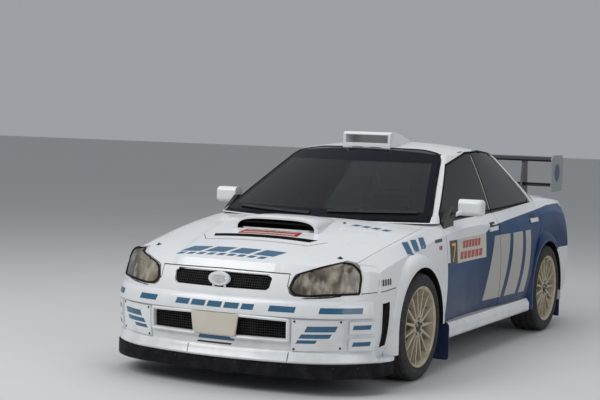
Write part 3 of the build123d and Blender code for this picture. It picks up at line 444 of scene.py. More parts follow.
# The nodes of each finish, left and right alike
FINISHED_NODES = {
    "white": "roof_frame cowl_panel roof_vent side_skirts boot_lid",
    # these panels take black painted shade inside the wheel arches
    "white_arch_shade": "side_frames front_wings front_bumper rear_bumper",
    "livery": "quarter_panels door_front door_rear",
    "chassis": "front_suspension rear_suspension knuckle",
    "trim": "wipers steering_wheel", "side_glass": "glass_front glass_rear",
    "wheel": "wheel_front wheel_rear", "tyre": "tyre_front tyre_rear",
    "primer": "floor_pan", "splitter": "front_splitter", "screen": "windscreen", "rear_glass": "rear_window",
    # the grille's sheets behind the wires take the near-black painted shade
    "lens": "headlamps", "tail": "tail_lamps", "mesh": "grille", "flap": "mud_flaps", "cage": "roll_cage",
    "seat": "seats", "dash": "dashboard", "alloy": "engine_block", "exhaust": "exhaust", "bonnet": "bonnet",
    "wing": "rear_wing", "mirror": "mirror",
}


def finish_nodes():
    """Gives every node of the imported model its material."""
    finishes = {stem: finish for finish, stems in FINISHED_NODES.items() for stem in stems.split()}
    for name, obj in nodes.items():
        stem = name.removesuffix("_left").removesuffix("_right")
        obj.data.materials.clear()
        obj.data.materials.append(MATERIALS[finishes[stem]])


class Surface:
    """The shape of some nodes or pieces. What is laid on it rides on the first one's body."""

    def __init__(self, *things):
        objects = [nodes[thing] if isinstance(thing, str) else thing for thing in things]
        self.body = objects[0]["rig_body"]
        vertices = []
        faces = []
        for obj in objects:
            start = len(vertices)
            vertices += [v.co.copy() for v in obj.data.vertices]
            faces += [[start + i for i in p.vertices] for p in obj.data.polygons]
        self.tree = BVHTree.FromPolygons(vertices, faces)

    def sight(self, view, a, b):
        """Where a line of sight starts and its direction.

        "left" and "right" take (y, z), "front" and "rear" take (x, z), and "top" takes (x, y). "nose" takes
        degrees round from straight ahead and z, and meets the car towards an upright line behind its nose.
        """
        turn = radians(a)
        start, ray = {
            "nose": ((FAR * sin(turn), NOSE_CENTRE - FAR * cos(turn), b), (-sin(turn), cos(turn), 0)),
            "left": ((FAR, a, b), (-1, 0, 0)), "right": ((-FAR, a, b), (1, 0, 0)),
            "front": ((a, -FAR, b), (0, 1, 0)), "rear": ((a, FAR, b), (0, -1, 0)),
            "top": ((a, b, FAR), (0, 0, -1)),
        }[view]
        return Vector(start), Vector(ray)

    def cast(self, view, a, b):
        """The point and normal met along a line of sight: None where nothing is met."""
        start, ray = self.sight(view, a, b)
        point, normal, _, _ = self.tree.ray_cast(start, ray)
        if point is None:
            return None
        return point, -normal if normal.dot(ray) > 0 else normal

    def nearest(self, place):
        """The point of the surface nearest to a place, and its normal away from the cabin's middle."""
        point, normal, _, _ = self.tree.find_nearest(Vector(place))
        return point, -normal if normal.dot(point - CABIN_MIDDLE) < 0 else normal

    def bridged(self, view, places):
        """Points and normals at a grid of places, as if gaps narrower than two steps were filled."""
        sights = {key: self.sight(view, *place) for key, place in places.items()}
        depth = {}
        for key, place in places.items():
            found = self.cast(view, *place)
            depth[key] = (found[0] - sights[key][0]).length if found else 2 * FAR
        around = {
            (i, j): [k for k in ((i + a, j + b) for a in (-1, 0, 1) for b in (-1, 0, 1)) if k in places]
            for i, j in places
        }
        nearer = {key: min(depth[k] for k in near) for key, near in around.items()}
        depth = {key: max(nearer[k] for k in near) for key, near in around.items()}
        for _ in range(SOFTEN):
            depth = {key: sum(depth[k] for k in near) / len(near) for key, near in around.items()}
        points = {key: start + ray * depth[key] for key, (start, ray) in sights.items()}
        made = []
        for (i, j), point in points.items():
            across = points.get((i + 1, j), point) - points.get((i - 1, j), point)
            down = points.get((i, j + 1), point) - points.get((i, j - 1), point)
            normal = across.cross(down).normalized()
            made.append((point, -normal if normal.dot(sights[i, j][1]) > 0 else normal))
        return made


def outward(obj, weld=False):
    """Turns a closed piece's faces outwards and keeps sharp edges sharp, welding doubled points if asked."""
    bm = bmesh.new()
    bm.from_mesh(obj.data)
    if weld:
        bmesh.ops.remove_doubles(bm, verts=bm.verts, dist=1e-6)
    bmesh.ops.recalc_face_normals(bm, faces=bm.faces)
    bm.to_mesh(obj.data)
    bm.free()
    obj.data.set_sharp_from_angle(angle=radians(SHARP_ANGLE))
    return obj


def mesh_object(name, vertices, faces, material, body, smooth=True):
    """A mesh piece with a material, riding on a body."""
    mesh = bpy.data.meshes.new(name)
    mesh.from_pydata(vertices, [], faces)
    mesh.validate()
    for polygon in mesh.polygons:
        polygon.use_smooth = smooth
    mesh.materials.append(MATERIALS[material])
    obj = bpy.data.objects.new(name, mesh)
    bpy.context.scene.collection.objects.link(obj)
    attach(obj, body)
    return obj


def row_faces(a, b, size, closed=True):
    """Faces between two rows of points that start at the vertices a and b."""
    return [
        [a + k, a + (k + 1) % size, b + (k + 1) % size, b + k] for k in range(size if closed else size - 1)
    ]


def tube_faces(rings, size, closed=False):
    """Faces of a tube through rings of points, capped at its ends unless it runs round to its start."""
    faces = []
    for ring in range(rings - 1):
        faces += row_faces(ring * size, (ring + 1) * size, size)
    last = (rings - 1) * size
    if closed:
        return faces + row_faces(last, 0, size)
    return faces + [list(range(size)), list(range(last, last + size))]


def part_way(line, share):
    """The point at a share of the way along a polyline whose pieces count alike."""
    whole = share * (len(line) - 1)
    i = min(int(whole), len(line) - 2)
    t = whole - i
    return [(1 - t) * line[i][k] + t * line[i + 1][k] for k in (0, 1)]


def patch(name, surface, view, corners, lift, material, steps=(10, 6), thickness=0.0, bridge=False):
    """A sticker or plate that follows a surface, between an upper line and a lower line.

    The first half of the corners runs along the upper line, and the second half comes back along the lower
    one. With a thickness it is a closed plate standing that high, and otherwise a thin film.
    """
    rows, columns = steps
    half = len(corners) // 2
    top, foot = corners[:half], corners[:half - 1:-1]
    places = {}
    for i in range(rows + 1):
        a, b = part_way(top, i / rows), part_way(foot, i / rows)
        for j in range(columns + 1):
            places[i, j] = part_way([a, b], j / columns)
    found = surface.bridged(view, places) if bridge else [surface.cast(view, *p) for p in places.values()]
    if None in found:
        raise ValueError(f"{name} runs past its surface, as seen from the {view}")
    upper = [point + normal * (lift + thickness) for point, normal in found]
    lower = [point + normal * (lift - FILM) for point, normal in found]
    count = len(upper)
    row = columns + 1
    quads = []
    for i in range(rows):
        quads += row_faces(i * row, (i + 1) * row, row, closed=False)
    faces = quads + [[count + v for v in reversed(quad)] for quad in quads]
    rim = [i * row for i in range(rows)] + [rows * row + j for j in range(columns)]
    rim += [i * row + columns for i in range(rows, 0, -1)] + list(range(columns, 0, -1))
    faces += [[b, a, count + a, count + b] for a, b in zip(rim, rim[1:] + rim[:1])]
    return outward(mesh_object(name, upper + lower, faces, material, surface.body, smooth=bridge))


def joined(name, pieces):
    """Several pieces with one material as one."""
    data = bmesh.new()
    for piece in pieces:
        data.from_mesh(piece.data)
    material = pieces[0].data.materials[0]
    body = pieces[0]["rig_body"]
    mesh = bpy.data.meshes.new(name)
    data.to_mesh(mesh)
    data.free()
    for piece in pieces:
        old = piece.data
        bpy.data.objects.remove(piece)
        bpy.data.meshes.remove(old)
    mesh.materials.append(material)
    obj = bpy.data.objects.new(name, mesh)
    bpy.context.scene.collection.objects.link(obj)
    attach(obj, body)


def on_side(sign, corners):
    """Corners of the left side, or their mirror images."""
    return [(sign * a, z) for a, z in corners]


def bar(low, high, top, foot, slant):
    """The corners of an upright bar whose top is set aside by the slant."""
    return [(low + slant, top), (high + slant, top), (high, foot), (low, foot)]


def both_halves(*half):
    """A symmetric outline from one half of its points, which starts with the point across from the first."""
    return on_side(-1, half[:1]) + list(half) + on_side(-1, [p for p in reversed(half[1:]) if p[0]])


def marks(name, surface, view, outlines, lift, material, steps):
    """Several marks of one colour as one piece."""
    joined(name, [patch("mark", surface, view, outline, lift, material, steps) for outline in outlines])


def rounded(corners, radius, steps=5, closed=True):
    """An outline with its corners rounded, as a list of points."""
    made = []
    count = len(corners)
    for i, corner in enumerate(corners):
        here = Vector(corner)
        if not closed and i in (0, count - 1):
            made.append(here)
            continue
        before = Vector(corners[i - 1]) - here
        after = Vector(corners[(i + 1) % count]) - here
        reach = min(radius, before.length * 0.45, after.length * 0.45)
        start = here + before.normalized() * reach
        end = here + after.normalized() * reach
        for k in range(steps + 1):
            t = k / steps
            made.append((1 - t) ** 2 * start + 2 * t * (1 - t) * here + t ** 2 * end)
    return made


def spaced(points, step, closed=True):
    """Points no further apart than a step along a polyline."""
    made = []
    ends = points[1:] + points[:1] if closed else points[1:]
    for start, end in zip(points, ends):
        start, end = Vector(start), Vector(end)
        count = max(1, round((end - start).length / step))
        made += [start.lerp(end, k / count) for k in range(count)]
    if not closed:
        made.append(Vector(points[-1]))
    return made


# A strip's rounded section, in shares of its width and of its height, and how deep its edges sink
STRIP_SECTION = [(-0.5, 0.0), (-0.42, 0.75), (0.0, 1.0), (0.42, 0.75), (0.5, 0.0)]
STRIP_SINK = 0.001


def strip(name, surface, view, corners, width, height, material, radius=0.03, closed=True, step=0.02):
    """A low rounded strip laid along an outline on a surface, such as a seal or a moulding.

    With the view "nearest" the corners are points in space, and the strip lies at the nearest places.
    """
    path = spaced(rounded(corners, radius, closed=closed), step, closed)
    found = [surface.nearest(p) if view == "nearest" else surface.cast(view, *p) for p in path]
    found = [f for f in found if f is not None]
    vertices = []
    count = len(found)
    for i, (point, normal) in enumerate(found):
        before = found[(i - 1) % count][0] if closed or i else point
        after = found[(i + 1) % count][0] if closed or i < count - 1 else point
        across = (after - before).normalized().cross(normal).normalized()
        vertices += [
            point + across * (u * width) + normal * (v * height - STRIP_SINK) for u, v in STRIP_SECTION
        ]
    faces = tube_faces(count, len(STRIP_SECTION), closed)
    outward(mesh_object(name, vertices, faces, material, surface.body))


def turned(name, profile, origin, axis, material, body, segments=48):
    """A solid of revolution from (along, radius) points about an axis through the origin."""
    axis = Vector(axis).normalized()
    side = axis.orthogonal().normalized()
    other = axis.cross(side)
    size = len(profile)
    vertices, faces = [], []
    for k in range(segments):
        turn = tau * k / segments
        out = side * cos(turn) + other * sin(turn)
        vertices += [Vector(origin) + axis * along + out * radius for along, radius in profile]
        faces += row_faces(k * size, (k + 1) % segments * size, size, closed=False)
    return outward(mesh_object(name, vertices, faces, material, body), weld=True)


def bolt(point, axis, radius, height, material):
    """A small domed bolt or rivet head on the body."""
    profile = [(-0.001, 0.0), (-0.001, radius), (height * 0.6, radius), (height, radius * 0.6), (height, 0.0)]
    return turned("bolt", profile, point, axis, material, "body", 12)


# The tread's pattern: its grooves from the middle, and how the cuts between its blocks repeat round it
GROOVES = (0.070, 0.026)
GROOVE_DEPTH = 0.008
CUT_DEPTH = 0.006
CUT_PITCH = 6
TREAD_SEGMENTS = 192


def tread_tyre(end, side, sign):
    """A road tyre with grooves round it and blocks at its shoulders, in place of the plain ring."""
    half = TYRE_WIDTH / 2
    bead = RIM_RADIUS - 0.011
    wall = [
        (half - 0.017, bead), (half - 0.013, bead + 0.010), (half - 0.004, bead + 0.028),
        (half, bead + 0.042), (half - 0.003, bead + 0.056), (half - 0.010, TYRE_RADIUS - 0.016),
        (half - 0.018, TYRE_RADIUS - 0.008),
    ]
    floor = TYRE_RADIUS - GROOVE_DEPTH
    edge = TYRE_RADIUS - 0.001
    crown = [(half - 0.026, TYRE_RADIUS - 0.004, 1)]
    for centre in GROOVES:
        crown += [(centre + 0.006, edge, 1), (centre + 0.004, floor, 0)]
        crown += [(centre - 0.004, floor, 0), (centre - 0.006, edge, 1)]
    left = [(x, r, 0) for x, r in wall] + crown + [(0.0, TYRE_RADIUS, 1)]
    profile = left + [(-x, r, cut) for x, r, cut in reversed(left[:-1])]
    vertices = []
    for k in range(TREAD_SEGMENTS):
        turn = tau * k / TREAD_SEGMENTS
        for x, r, cut in profile:
            shift = 1 if abs(x) > GROOVES[0] else 3 if abs(x) < GROOVES[1] else 5
            sunk = CUT_DEPTH if cut and (k + shift) % CUT_PITCH == 0 and abs(x) > 0.001 else 0.0
            out = r - sunk
            vertices.append((sign * WHEEL_X + x, AXLES[end] + out * cos(turn), AXLE_HEIGHT + out * sin(turn)))
    faces = tube_faces(TREAD_SEGMENTS, len(profile), closed=True)
    obj = outward(mesh_object(f"tread_{end}_{side}", vertices, faces, "tyre", f"{end}_wheel_{side}"))
    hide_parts(f"tyre_{end}_{side}")


# Where a wheel's face is in x, the profiles of what sits on it, and the ring of nuts
HUB_FACE = WHEEL_X + TYRE_WIDTH / 2 - 0.026
HUB_CAP = [(-0.004, 0.0), (-0.004, 0.030), (0.004, 0.029), (0.007, 0.024), (0.007, 0.0)]
WHEEL_NUT = [(-0.004, 0.0), (-0.004, 0.0105), (0.012, 0.0105), (0.015, 0.007), (0.015, 0.0)]
NUT_COUNT = 5
NUT_RADIUS = 0.046
NUT_TURN = 0.3


def wheel_fittings(end, side, sign):
    """Centre cap and wheel nuts."""
    axle = AXLES[end]
    body = f"{end}_wheel_{side}"
    face = sign * HUB_FACE
    turned(f"hub_cap_{end}_{side}", HUB_CAP, (face, axle, AXLE_HEIGHT), (sign, 0, 0), "trim", body, 32)
    nuts = []
    for k in range(NUT_COUNT):
        turn = tau * k / NUT_COUNT + NUT_TURN
        at = (face, axle + NUT_RADIUS * cos(turn), AXLE_HEIGHT + NUT_RADIUS * sin(turn))
        nuts.append(turned("nut", WHEEL_NUT, at, (sign, 0, 0), "steel", body, 6))
    joined(f"wheel_nuts_{end}_{side}", nuts)


def wheels():
    """Treads, caps and nuts of the four wheels."""
    for side, sign in SIDES:
        for end in AXLES:
            tread_tyre(end, side, sign)
            wheel_fittings(end, side, sign)


# Outlines of the glass from the front, from behind and from the left
SCREEN_OUTLINE = both_halves((0.729, 0.919), (0.527, 1.318), (0.380, 1.344), (0.0, 1.352))
BACKLIGHT_OUTLINE = both_halves((0.575, 0.990), (0.470, 1.286), (0.400, 1.312), (0.0, 1.326))
WINDOW_OUTLINE = [
    (-0.738, 0.918), (-0.695, 0.950), (-0.203, 1.248), (0.190, 1.325), (0.500, 1.331), (0.694, 1.312),
    (0.944, 1.144), (1.160, 0.990), (1.150, 0.962),
]


def glass_seals():
    """Black rubber round the screens and side windows."""
    front = Surface("windscreen", "roof_frame", "cowl_panel")
    strip("seal_windscreen", front, "front", SCREEN_OUTLINE, 0.022, 0.005, "seal", 0.05)
    rear = Surface("rear_window", "roof_frame", "quarter_panels")
    strip("seal_rear_window", rear, "rear", BACKLIGHT_OUTLINE, 0.022, 0.005, "seal", 0.05)
    for side, _ in SIDES:
        wall = Surface("roof_frame", f"glass_front_{side}", f"glass_rear_{side}")
        strip(f"seal_windows_{side}", wall, side, WINDOW_OUTLINE, 0.016, 0.004, "seal")


# The lattice over both openings: two of its corners, its wires, and how far back in y it may stand
WIRE_LOW = (-0.42, 0.316)
WIRE_HIGH = (0.42, 0.652)
WIRE_PITCH = 0.014
WIRE_STEP = 0.012
WIRE_RADIUS = 0.0012
WIRE_LIFT = 0.002
NOSE_LIMIT = -1.9


def wire_runs():
    """The two ends of each wire, seen from the front."""
    (low_x, low_z), (high_x, high_z) = WIRE_LOW, WIRE_HIGH
    heights = [low_z + k * WIRE_PITCH for k in range(int((high_z - low_z) / WIRE_PITCH) + 1)]
    places = [low_x + k * WIRE_PITCH for k in range(int((high_x - low_x) / WIRE_PITCH) + 1)]
    return [[(low_x, z), (high_x, z)] for z in heights] + [[(x, low_z), (x, high_z)] for x in places]


def grille_wires():
    """A square lattice of wires over the grille in the nose, where they are met; the grille's sheets under
    them are near-black painted shade.
    """
    surface = Surface("grille")
    wires = []
    for run in wire_runs():
        wires.append([])
        for place in spaced(run, WIRE_STEP, closed=False):
            found = surface.cast("front", *place)
            if found and found[0].y < NOSE_LIMIT:
                wires[-1].append(found[0] + found[1] * WIRE_LIFT)
            else:
                wires.append([])
    vertices, faces = [], []
    for wire in wires:
        if len(wire) < 2:
            continue
        for i, point in enumerate(wire):
            if i:
                faces += row_faces(len(vertices) - 4, len(vertices), 4)
            along = (wire[min(i + 1, len(wire) - 1)] - wire[max(i - 1, 0)]).normalized()
            across = along.cross(Vector((0, 1, 0))).normalized()
            deep = along.cross(across)
            vertices += [point + way * WIRE_RADIUS for way in (across, deep, -across, -deep)]
    mesh_object("grille_wires", vertices, faces, "trim", "body")


# Sections of the two rails round the nose, from the top down: height, how far it stands out
BAND_SECTION = [
    (0.528, 0.0), (0.518, 0.009), (0.500, 0.014), (0.448, 0.021), (0.437, 0.020), (0.432, 0.012),
    (0.430, 0.0),
]
BAND_REACH = 50
LIP_SECTION = [(0.246, 0.0), (0.238, 0.010), (0.226, 0.015), (0.192, 0.017), (0.184, 0.014), (0.180, 0.0)]
LIP_REACH = 52
RAIL_STEPS = 72
RAIL_SINK = 0.003


def nose_rail(name, skin, reach, section):
    """A rail round the nose, as far to each side as the reach in degrees."""
    outline = section + [(z, -RAIL_SINK) for z, _ in reversed(section)]
    vertices = []
    for k in range(RAIL_STEPS + 1):
        angle = reach * (2 * k / RAIL_STEPS - 1)
        ahead = Vector((sin(radians(angle)), -cos(radians(angle)), 0))
        vertices += [skin.cast("nose", angle, z)[0] + ahead * out for z, out in outline]
    return outward(mesh_object(name, vertices, tube_faces(RAIL_STEPS + 1, len(outline)), "white", "body"))


def nose_patch(name, skin, sign, corners, lift, material, steps=(8, 6), thickness=0.0, bridge=False):
    """A sticker or plate on one side of the nose, from corners in degrees and height."""
    return patch(name, skin, "nose", on_side(sign, corners), lift, material, steps, thickness, bridge)


# Bars on the upper band: their edges in degrees, then the top, foot and slant of all of them
BAND_BARS = ((-48, -41), (-30, -23), (-15, -10), (-9, -4), (-3, 2), (3, 8), (9, 13), (18, 26), (33, 46))
BAND_BAR = (0.494, 0.462, 0.5)
# Outlines from the front, then the left wing's seam in degrees round the nose
GRILLE_BROW = [(-0.292, 0.660), (0.292, 0.657), (0.296, 0.650), (-0.296, 0.650)]
INTAKE_FRAME = [(0.104, 0.303), (0.435, 0.303), (0.435, 0.419), (0.176, 0.425), (0.120, 0.425)]
WING_SEAM = [(46.2, 0.5715), (62.5, 0.5865), (62.5, 0.5825), (46.2, 0.5675)]
LIP_CRACKS = {"left": bar(24.1, 24.35, 0.238, 0.188, 0.4), "right": bar(9.6, 9.85, 0.238, 0.188, 0.6)}
APRON_BARS = {
    "blue": bar(-0.115, 0.115, 0.298, 0.276, 0.008),
    "trim": bar(-0.125, 0.095, 0.262, 0.252, 0.008),
}
RIVET_PITCH = 7.5
RIVET_HEIGHT = 0.160


def front_end():
    """Meshes, rails, intake frames, corners, lamps, plate and pod of the nose."""
    grille_wires()
    skin = Surface("front_bumper")
    band = Surface(nose_rail("bumper_band", skin, BAND_REACH, BAND_SECTION))
    bars = [bar(low, high, *BAND_BAR) for low, high in BAND_BARS]
    marks("band_marks", band, "nose", bars, MARK_LIFT, "blue", (10, 2))
    lip = Surface(nose_rail("bumper_lip", skin, LIP_REACH, LIP_SECTION))
    brow_skin = Surface("front_bumper", "bonnet", "grille")
    patch("grille_brow", brow_skin, "front", GRILLE_BROW, MARK_LIFT, "trim", (20, 3))
    corner_skin = Surface("front_bumper", "front_wings")
    for side, sign in SIDES:
        outline = on_side(sign, INTAKE_FRAME)
        strip(f"intake_frame_{side}", skin, "front", outline, 0.022, 0.020, "white", 0.008)
        bumper_corner(skin, side, sign)
        nose_patch(f"lip_crack_{side}", lip, sign, LIP_CRACKS[side], MARK_LIFT, "trim", (2, 8))
        nose_patch(f"wing_seam_{side}", corner_skin, sign, WING_SEAM, 0.0012, "seal", (16, 1))
    for material, corners in APRON_BARS.items():
        patch(f"apron_bar_{material}", skin, "front", corners, MARK_LIFT, material, (10, 2))
    splitter = Surface("front_splitter")
    rivets = []
    for k in range(-6, 7):
        point, normal = splitter.cast("nose", RIVET_PITCH * k, RIVET_HEIGHT)
        rivets.append(bolt(point, normal, 0.004, 0.002, "chassis"))
    joined("splitter_rivets", rivets)
    for side, sign in SIDES:
        head_lamp(side, sign)
    number_plate()
    badge_pod()


# A corner of the bumper, in degrees round the nose and heights: the square cover with its bolts and marks,
# the lower and upper edges of its two ledges, and the tall slot
COVER = [(25.5, 0.424), (40.5, 0.427), (40.5, 0.262), (25.5, 0.250)]
COVER_BOLTS = [(26.3, 0.414), (39.7, 0.417), (39.7, 0.272), (26.3, 0.261)]
COVER_MARKS = [
    [(30.0, 0.390), (38.8, 0.394), (38.0, 0.362), (29.2, 0.358)],
    [(28.4, 0.346), (37.2, 0.350), (36.4, 0.326), (27.6, 0.322)],
    [(27.4, 0.312), (33.0, 0.315), (32.4, 0.296), (26.8, 0.293)],
]
COVER_THICKNESS = 0.010
LEDGES = ((0.350, 0.418), (0.258, 0.326))
LEDGE_THICKNESS = 0.016
CORNER_SLOT = [(53.4, 0.515), (57.8, 0.520), (57.4, 0.262), (53.0, 0.256)]


def bumper_corner(skin, side, sign):
    """The bolted square cover, the two ledges and the tall slot at a corner of the bumper."""
    nose_patch(f"corner_cover_{side}", skin, sign, COVER, 0.0, "white", (14, 8), COVER_THICKNESS)
    bolts = []
    for a, z in COVER_BOLTS:
        point, normal = skin.cast("nose", sign * a, z)
        bolts.append(bolt(point + normal * COVER_THICKNESS, normal, 0.0065, 0.003, "trim"))
    joined(f"cover_bolts_{side}", bolts)
    outlines = [on_side(sign, corners) for corners in COVER_MARKS]
    marks(f"cover_marks_{side}", skin, "nose", outlines, COVER_THICKNESS + PANEL_LIFT, "blue", (6, 3))
    for k, (low, high) in enumerate(LEDGES):
        ledge = bar(42.3, 50.5, high, low, 0)
        nose_patch(f"corner_ledge_{side}_{k}", skin, sign, ledge, 0.0, "white", (6, 4), LEDGE_THICKNESS)
        mark = bar(43.1, 48.8, high - 0.020, low + 0.024, 0.4)
        lift = LEDGE_THICKNESS + MARK_LIFT
        nose_patch(f"ledge_mark_{side}_{k}", skin, sign, mark, lift, "blue", (6, 3))
    # the tall slot is a near-black film of painted shade inside a white frame
    nose_patch(f"corner_slot_{side}", skin, sign, CORNER_SLOT, 0.002, "mesh", (8, 24))
    strip(f"slot_frame_{side}", skin, "nose", on_side(sign, CORNER_SLOT), 0.010, 0.007, "white", 0.0)


# The left lamp's upper and lower line from the front, and the wing's corner in degrees round the nose
LENS_TOP = [
    (0.424, 0.606), (0.444, 0.657), (0.520, 0.686), (0.610, 0.716), (0.675, 0.737), (0.716, 0.728),
    (0.748, 0.700), (0.763, 0.655),
]
LENS_FOOT = [
    (0.426, 0.590), (0.450, 0.560), (0.520, 0.552), (0.610, 0.562), (0.675, 0.565), (0.716, 0.567),
    (0.748, 0.568), (0.766, 0.569),
]
WING_CORNER = [(47.0, 0.728), (50.5, 0.722), (54.0, 0.710), (53.0, 0.562), (49.5, 0.561), (46.0, 0.560)]


def head_lamp(side, sign):
    """A smooth lens over the lamp, the wing's corner beside it and thin black rubber round it."""
    bowl = Surface("headlamps", "front_bumper", "front_wings")
    corner = nose_patch(
        f"wing_corner_{side}", bowl, sign, WING_CORNER, 0.0012, "white", (24, 40), bridge=True
    )
    outline = on_side(sign, LENS_TOP + LENS_FOOT[::-1])
    lens = patch(f"lamp_lens_{side}", bowl, "front", outline, 0.003, "lens", (48, 20), bridge=True)
    skin = Surface(corner, lens, "headlamps", "front_bumper", "front_wings")
    strip(f"lamp_rim_{side}", skin, "front", outline[1:], 0.013, 0.006, "seal", 0.024, step=0.010)


# Half-width and height of the plate's top and foot
PLATE_TOP = (0.152, 0.432)
PLATE_FOOT = (0.134, 0.308)
PLATE_ROUNDING = 0.010
# Rings from the plate's back to its face: inset, y
PLATE_RINGS = ((0.0, -2.2145), (0.0, -2.2240), (0.004, -2.2260))


def number_plate():
    """The blank plate in front of the lower opening: a flat trapezoid with rounded edges."""
    outline = rounded(both_halves(PLATE_TOP, PLATE_FOOT), PLATE_ROUNDING)
    centre = Vector((0, (PLATE_TOP[1] + PLATE_FOOT[1]) / 2))
    vertices = []
    for inset, y in PLATE_RINGS:
        inner = [p + (centre - p).normalized() * inset for p in outline]
        vertices += [(p.x, y, p.y) for p in inner]
    faces = tube_faces(len(PLATE_RINGS), len(outline))
    outward(mesh_object("plate_holder", vertices, faces, "pale", "body", smooth=False))


# The ovals of the pod: half-width, half-height, y of the face, material
POD_OVALS = ((0.068, 0.040, -2.186, "white"), (0.048, 0.026, -2.1885, "silver"))
# Rings from an oval's back to its face: share of its size, how far behind the face
POD_RINGS = ((1.0, 0.020), (1.0, 0.004), (0.92, 0.0))
POD_HEIGHT = 0.618
POD_SEGMENTS = 40
POD_LEG = [(0, 0), (0, 0.007), (0.030, 0.007), (0.030, 0)]
POD_LEG_FEET = ((-0.036, -2.176, 0.566), (0.036, -2.176, 0.566))


def badge_pod():
    """The bare oval pod on two short legs in the grille opening."""
    for half_width, half_height, face, material in POD_OVALS:
        vertices = []
        for share, back in POD_RINGS:
            for k in range(POD_SEGMENTS):
                turn = tau * k / POD_SEGMENTS
                z = POD_HEIGHT + half_height * share * sin(turn)
                vertices.append((half_width * share * cos(turn), face + back, z))
        faces = tube_faces(len(POD_RINGS), POD_SEGMENTS)
        outward(mesh_object(f"pod_{material}", vertices, faces, material, "body"))
    legs = [turned("leg", POD_LEG, foot, (0, 0, 1), "white", "body", 12) for foot in POD_LEG_FEET]
    joined("pod_legs", legs)


# The hood's crown from front to rear: y, z
HOOD_TOP = (
    (-1.506, 0.930), (-1.490, 0.936), (-1.440, 0.940), (-1.360, 0.941), (-1.260, 0.937), (-1.160, 0.926),
    (-1.040, 0.900),
)
HOOD_HALF = 0.285
HOOD_TAPER = 0.26
HOOD_SINK = 0.006
HOOD_FOOT_X = 0.340
HOOD_STEPS = 40
MOUTH_DEPTH = 0.050
MOUTH_LIP = 0.012
MOUTH_SILL = 0.017


def hood_arc(share, height):
    """The height of the hood's section at a share of its half-width."""
    return height * max(0.0, 1 - abs(share) ** 4) ** (1 / 3)


def scoop_hood():
    """The raised intake hood of the bonnet, with a near-black throat of painted shade set back behind its
    lip.
    """
    lid = Surface("bonnet")
    shares = [sin((2 * k / HOOD_STEPS - 1) * tau / 4) for k in range(HOOD_STEPS + 1)]
    count = len(shares)
    front, tail = HOOD_TOP[0][0], HOOD_TOP[-1][0]
    vertices, faces = [], []
    for row, (y, top) in enumerate(HOOD_TOP):
        half = HOOD_HALF * (1 - HOOD_TAPER * (y - front) / (tail - front))
        foot = lid.cast("top", HOOD_FOOT_X, y)[0].z - HOOD_SINK
        vertices += [(half * s, y, foot + hood_arc(s, top - foot)) for s in shares]
        if row:
            faces += row_faces((row - 1) * count, row * count, count, closed=False)
    base = vertices[0][2]
    sill = base + MOUTH_SILL
    half = HOOD_HALF - 2 * MOUTH_LIP
    arch = [(half * s, front, sill + hood_arc(s, HOOD_TOP[0][1] - MOUTH_LIP - sill)) for s in shares]
    floor = [(half * s, front, sill) for s in shares]
    arch_row = len(vertices)
    floor_row = arch_row + count
    vertices += arch + floor + [(HOOD_HALF * s, front, base) for s in shares]
    faces += row_faces(0, arch_row, count, closed=False)
    faces += row_faces(floor_row, floor_row + count, count, closed=False)
    hood = mesh_object("scoop_hood", vertices, faces, "white", "bonnet_lid")
    hood.data.set_sharp_from_angle(angle=radians(SHARP_ANGLE))
    # the throat takes the near-black finish: painted shade inside the intake
    deep = [(x, y + MOUTH_DEPTH, z) for x, y, z in arch + floor]
    faces = []
    for a, b in ((0, 2 * count), (count, 3 * count), (2 * count, 3 * count)):
        faces += row_faces(a, b, count, closed=False)
    mesh_object("scoop_throat", arch + floor + deep, faces, "mesh", "bonnet_lid", smooth=False)


# Outlines on the bonnet, from above: x, y
BONNET_SLOT = both_halves((0.345, -1.630), (0.318, -1.688))
PANEL_LINE = [(0.345, -1.742), (0.349, -1.742), (0.416, -1.640), (0.412, -1.640)]
RALLY_PLATE = both_halves((0.190, -1.520), (0.200, -1.612))
RALLY_FIELD = both_halves((0.165, -1.534), (0.174, -1.598))
RALLY_STRIPE = both_halves((0.165, -1.552), (0.168, -1.574))
# Rows of slanted bars: first x, pitch, count, width, rear y, front y, slant, steps
BONNET_ROWS = (
    (-0.36, 0.160, 4, 0.130, -1.915, -2.005, 0.040, (6, 5)),
    (-0.36, 0.066, 9, 0.042, -2.022, -2.056, 0.014, (4, 3)),
    (0.36, 0.066, 4, 0.042, -1.150, -1.196, 0.014, (4, 3)),
)
# Washer jet and bonnet pin: x and y, and profile
JET_PLACE = (0.30, -1.16)
JET = [(0, 0.0), (0, 0.010), (0.006, 0.008), (0.008, 0.0)]
PIN_PLACE = (0.60, -1.86)
PIN = [(-0.001, 0.0), (-0.001, 0.016), (0.002, 0.016), (0.003, 0.006), (0.010, 0.005), (0.011, 0.0)]


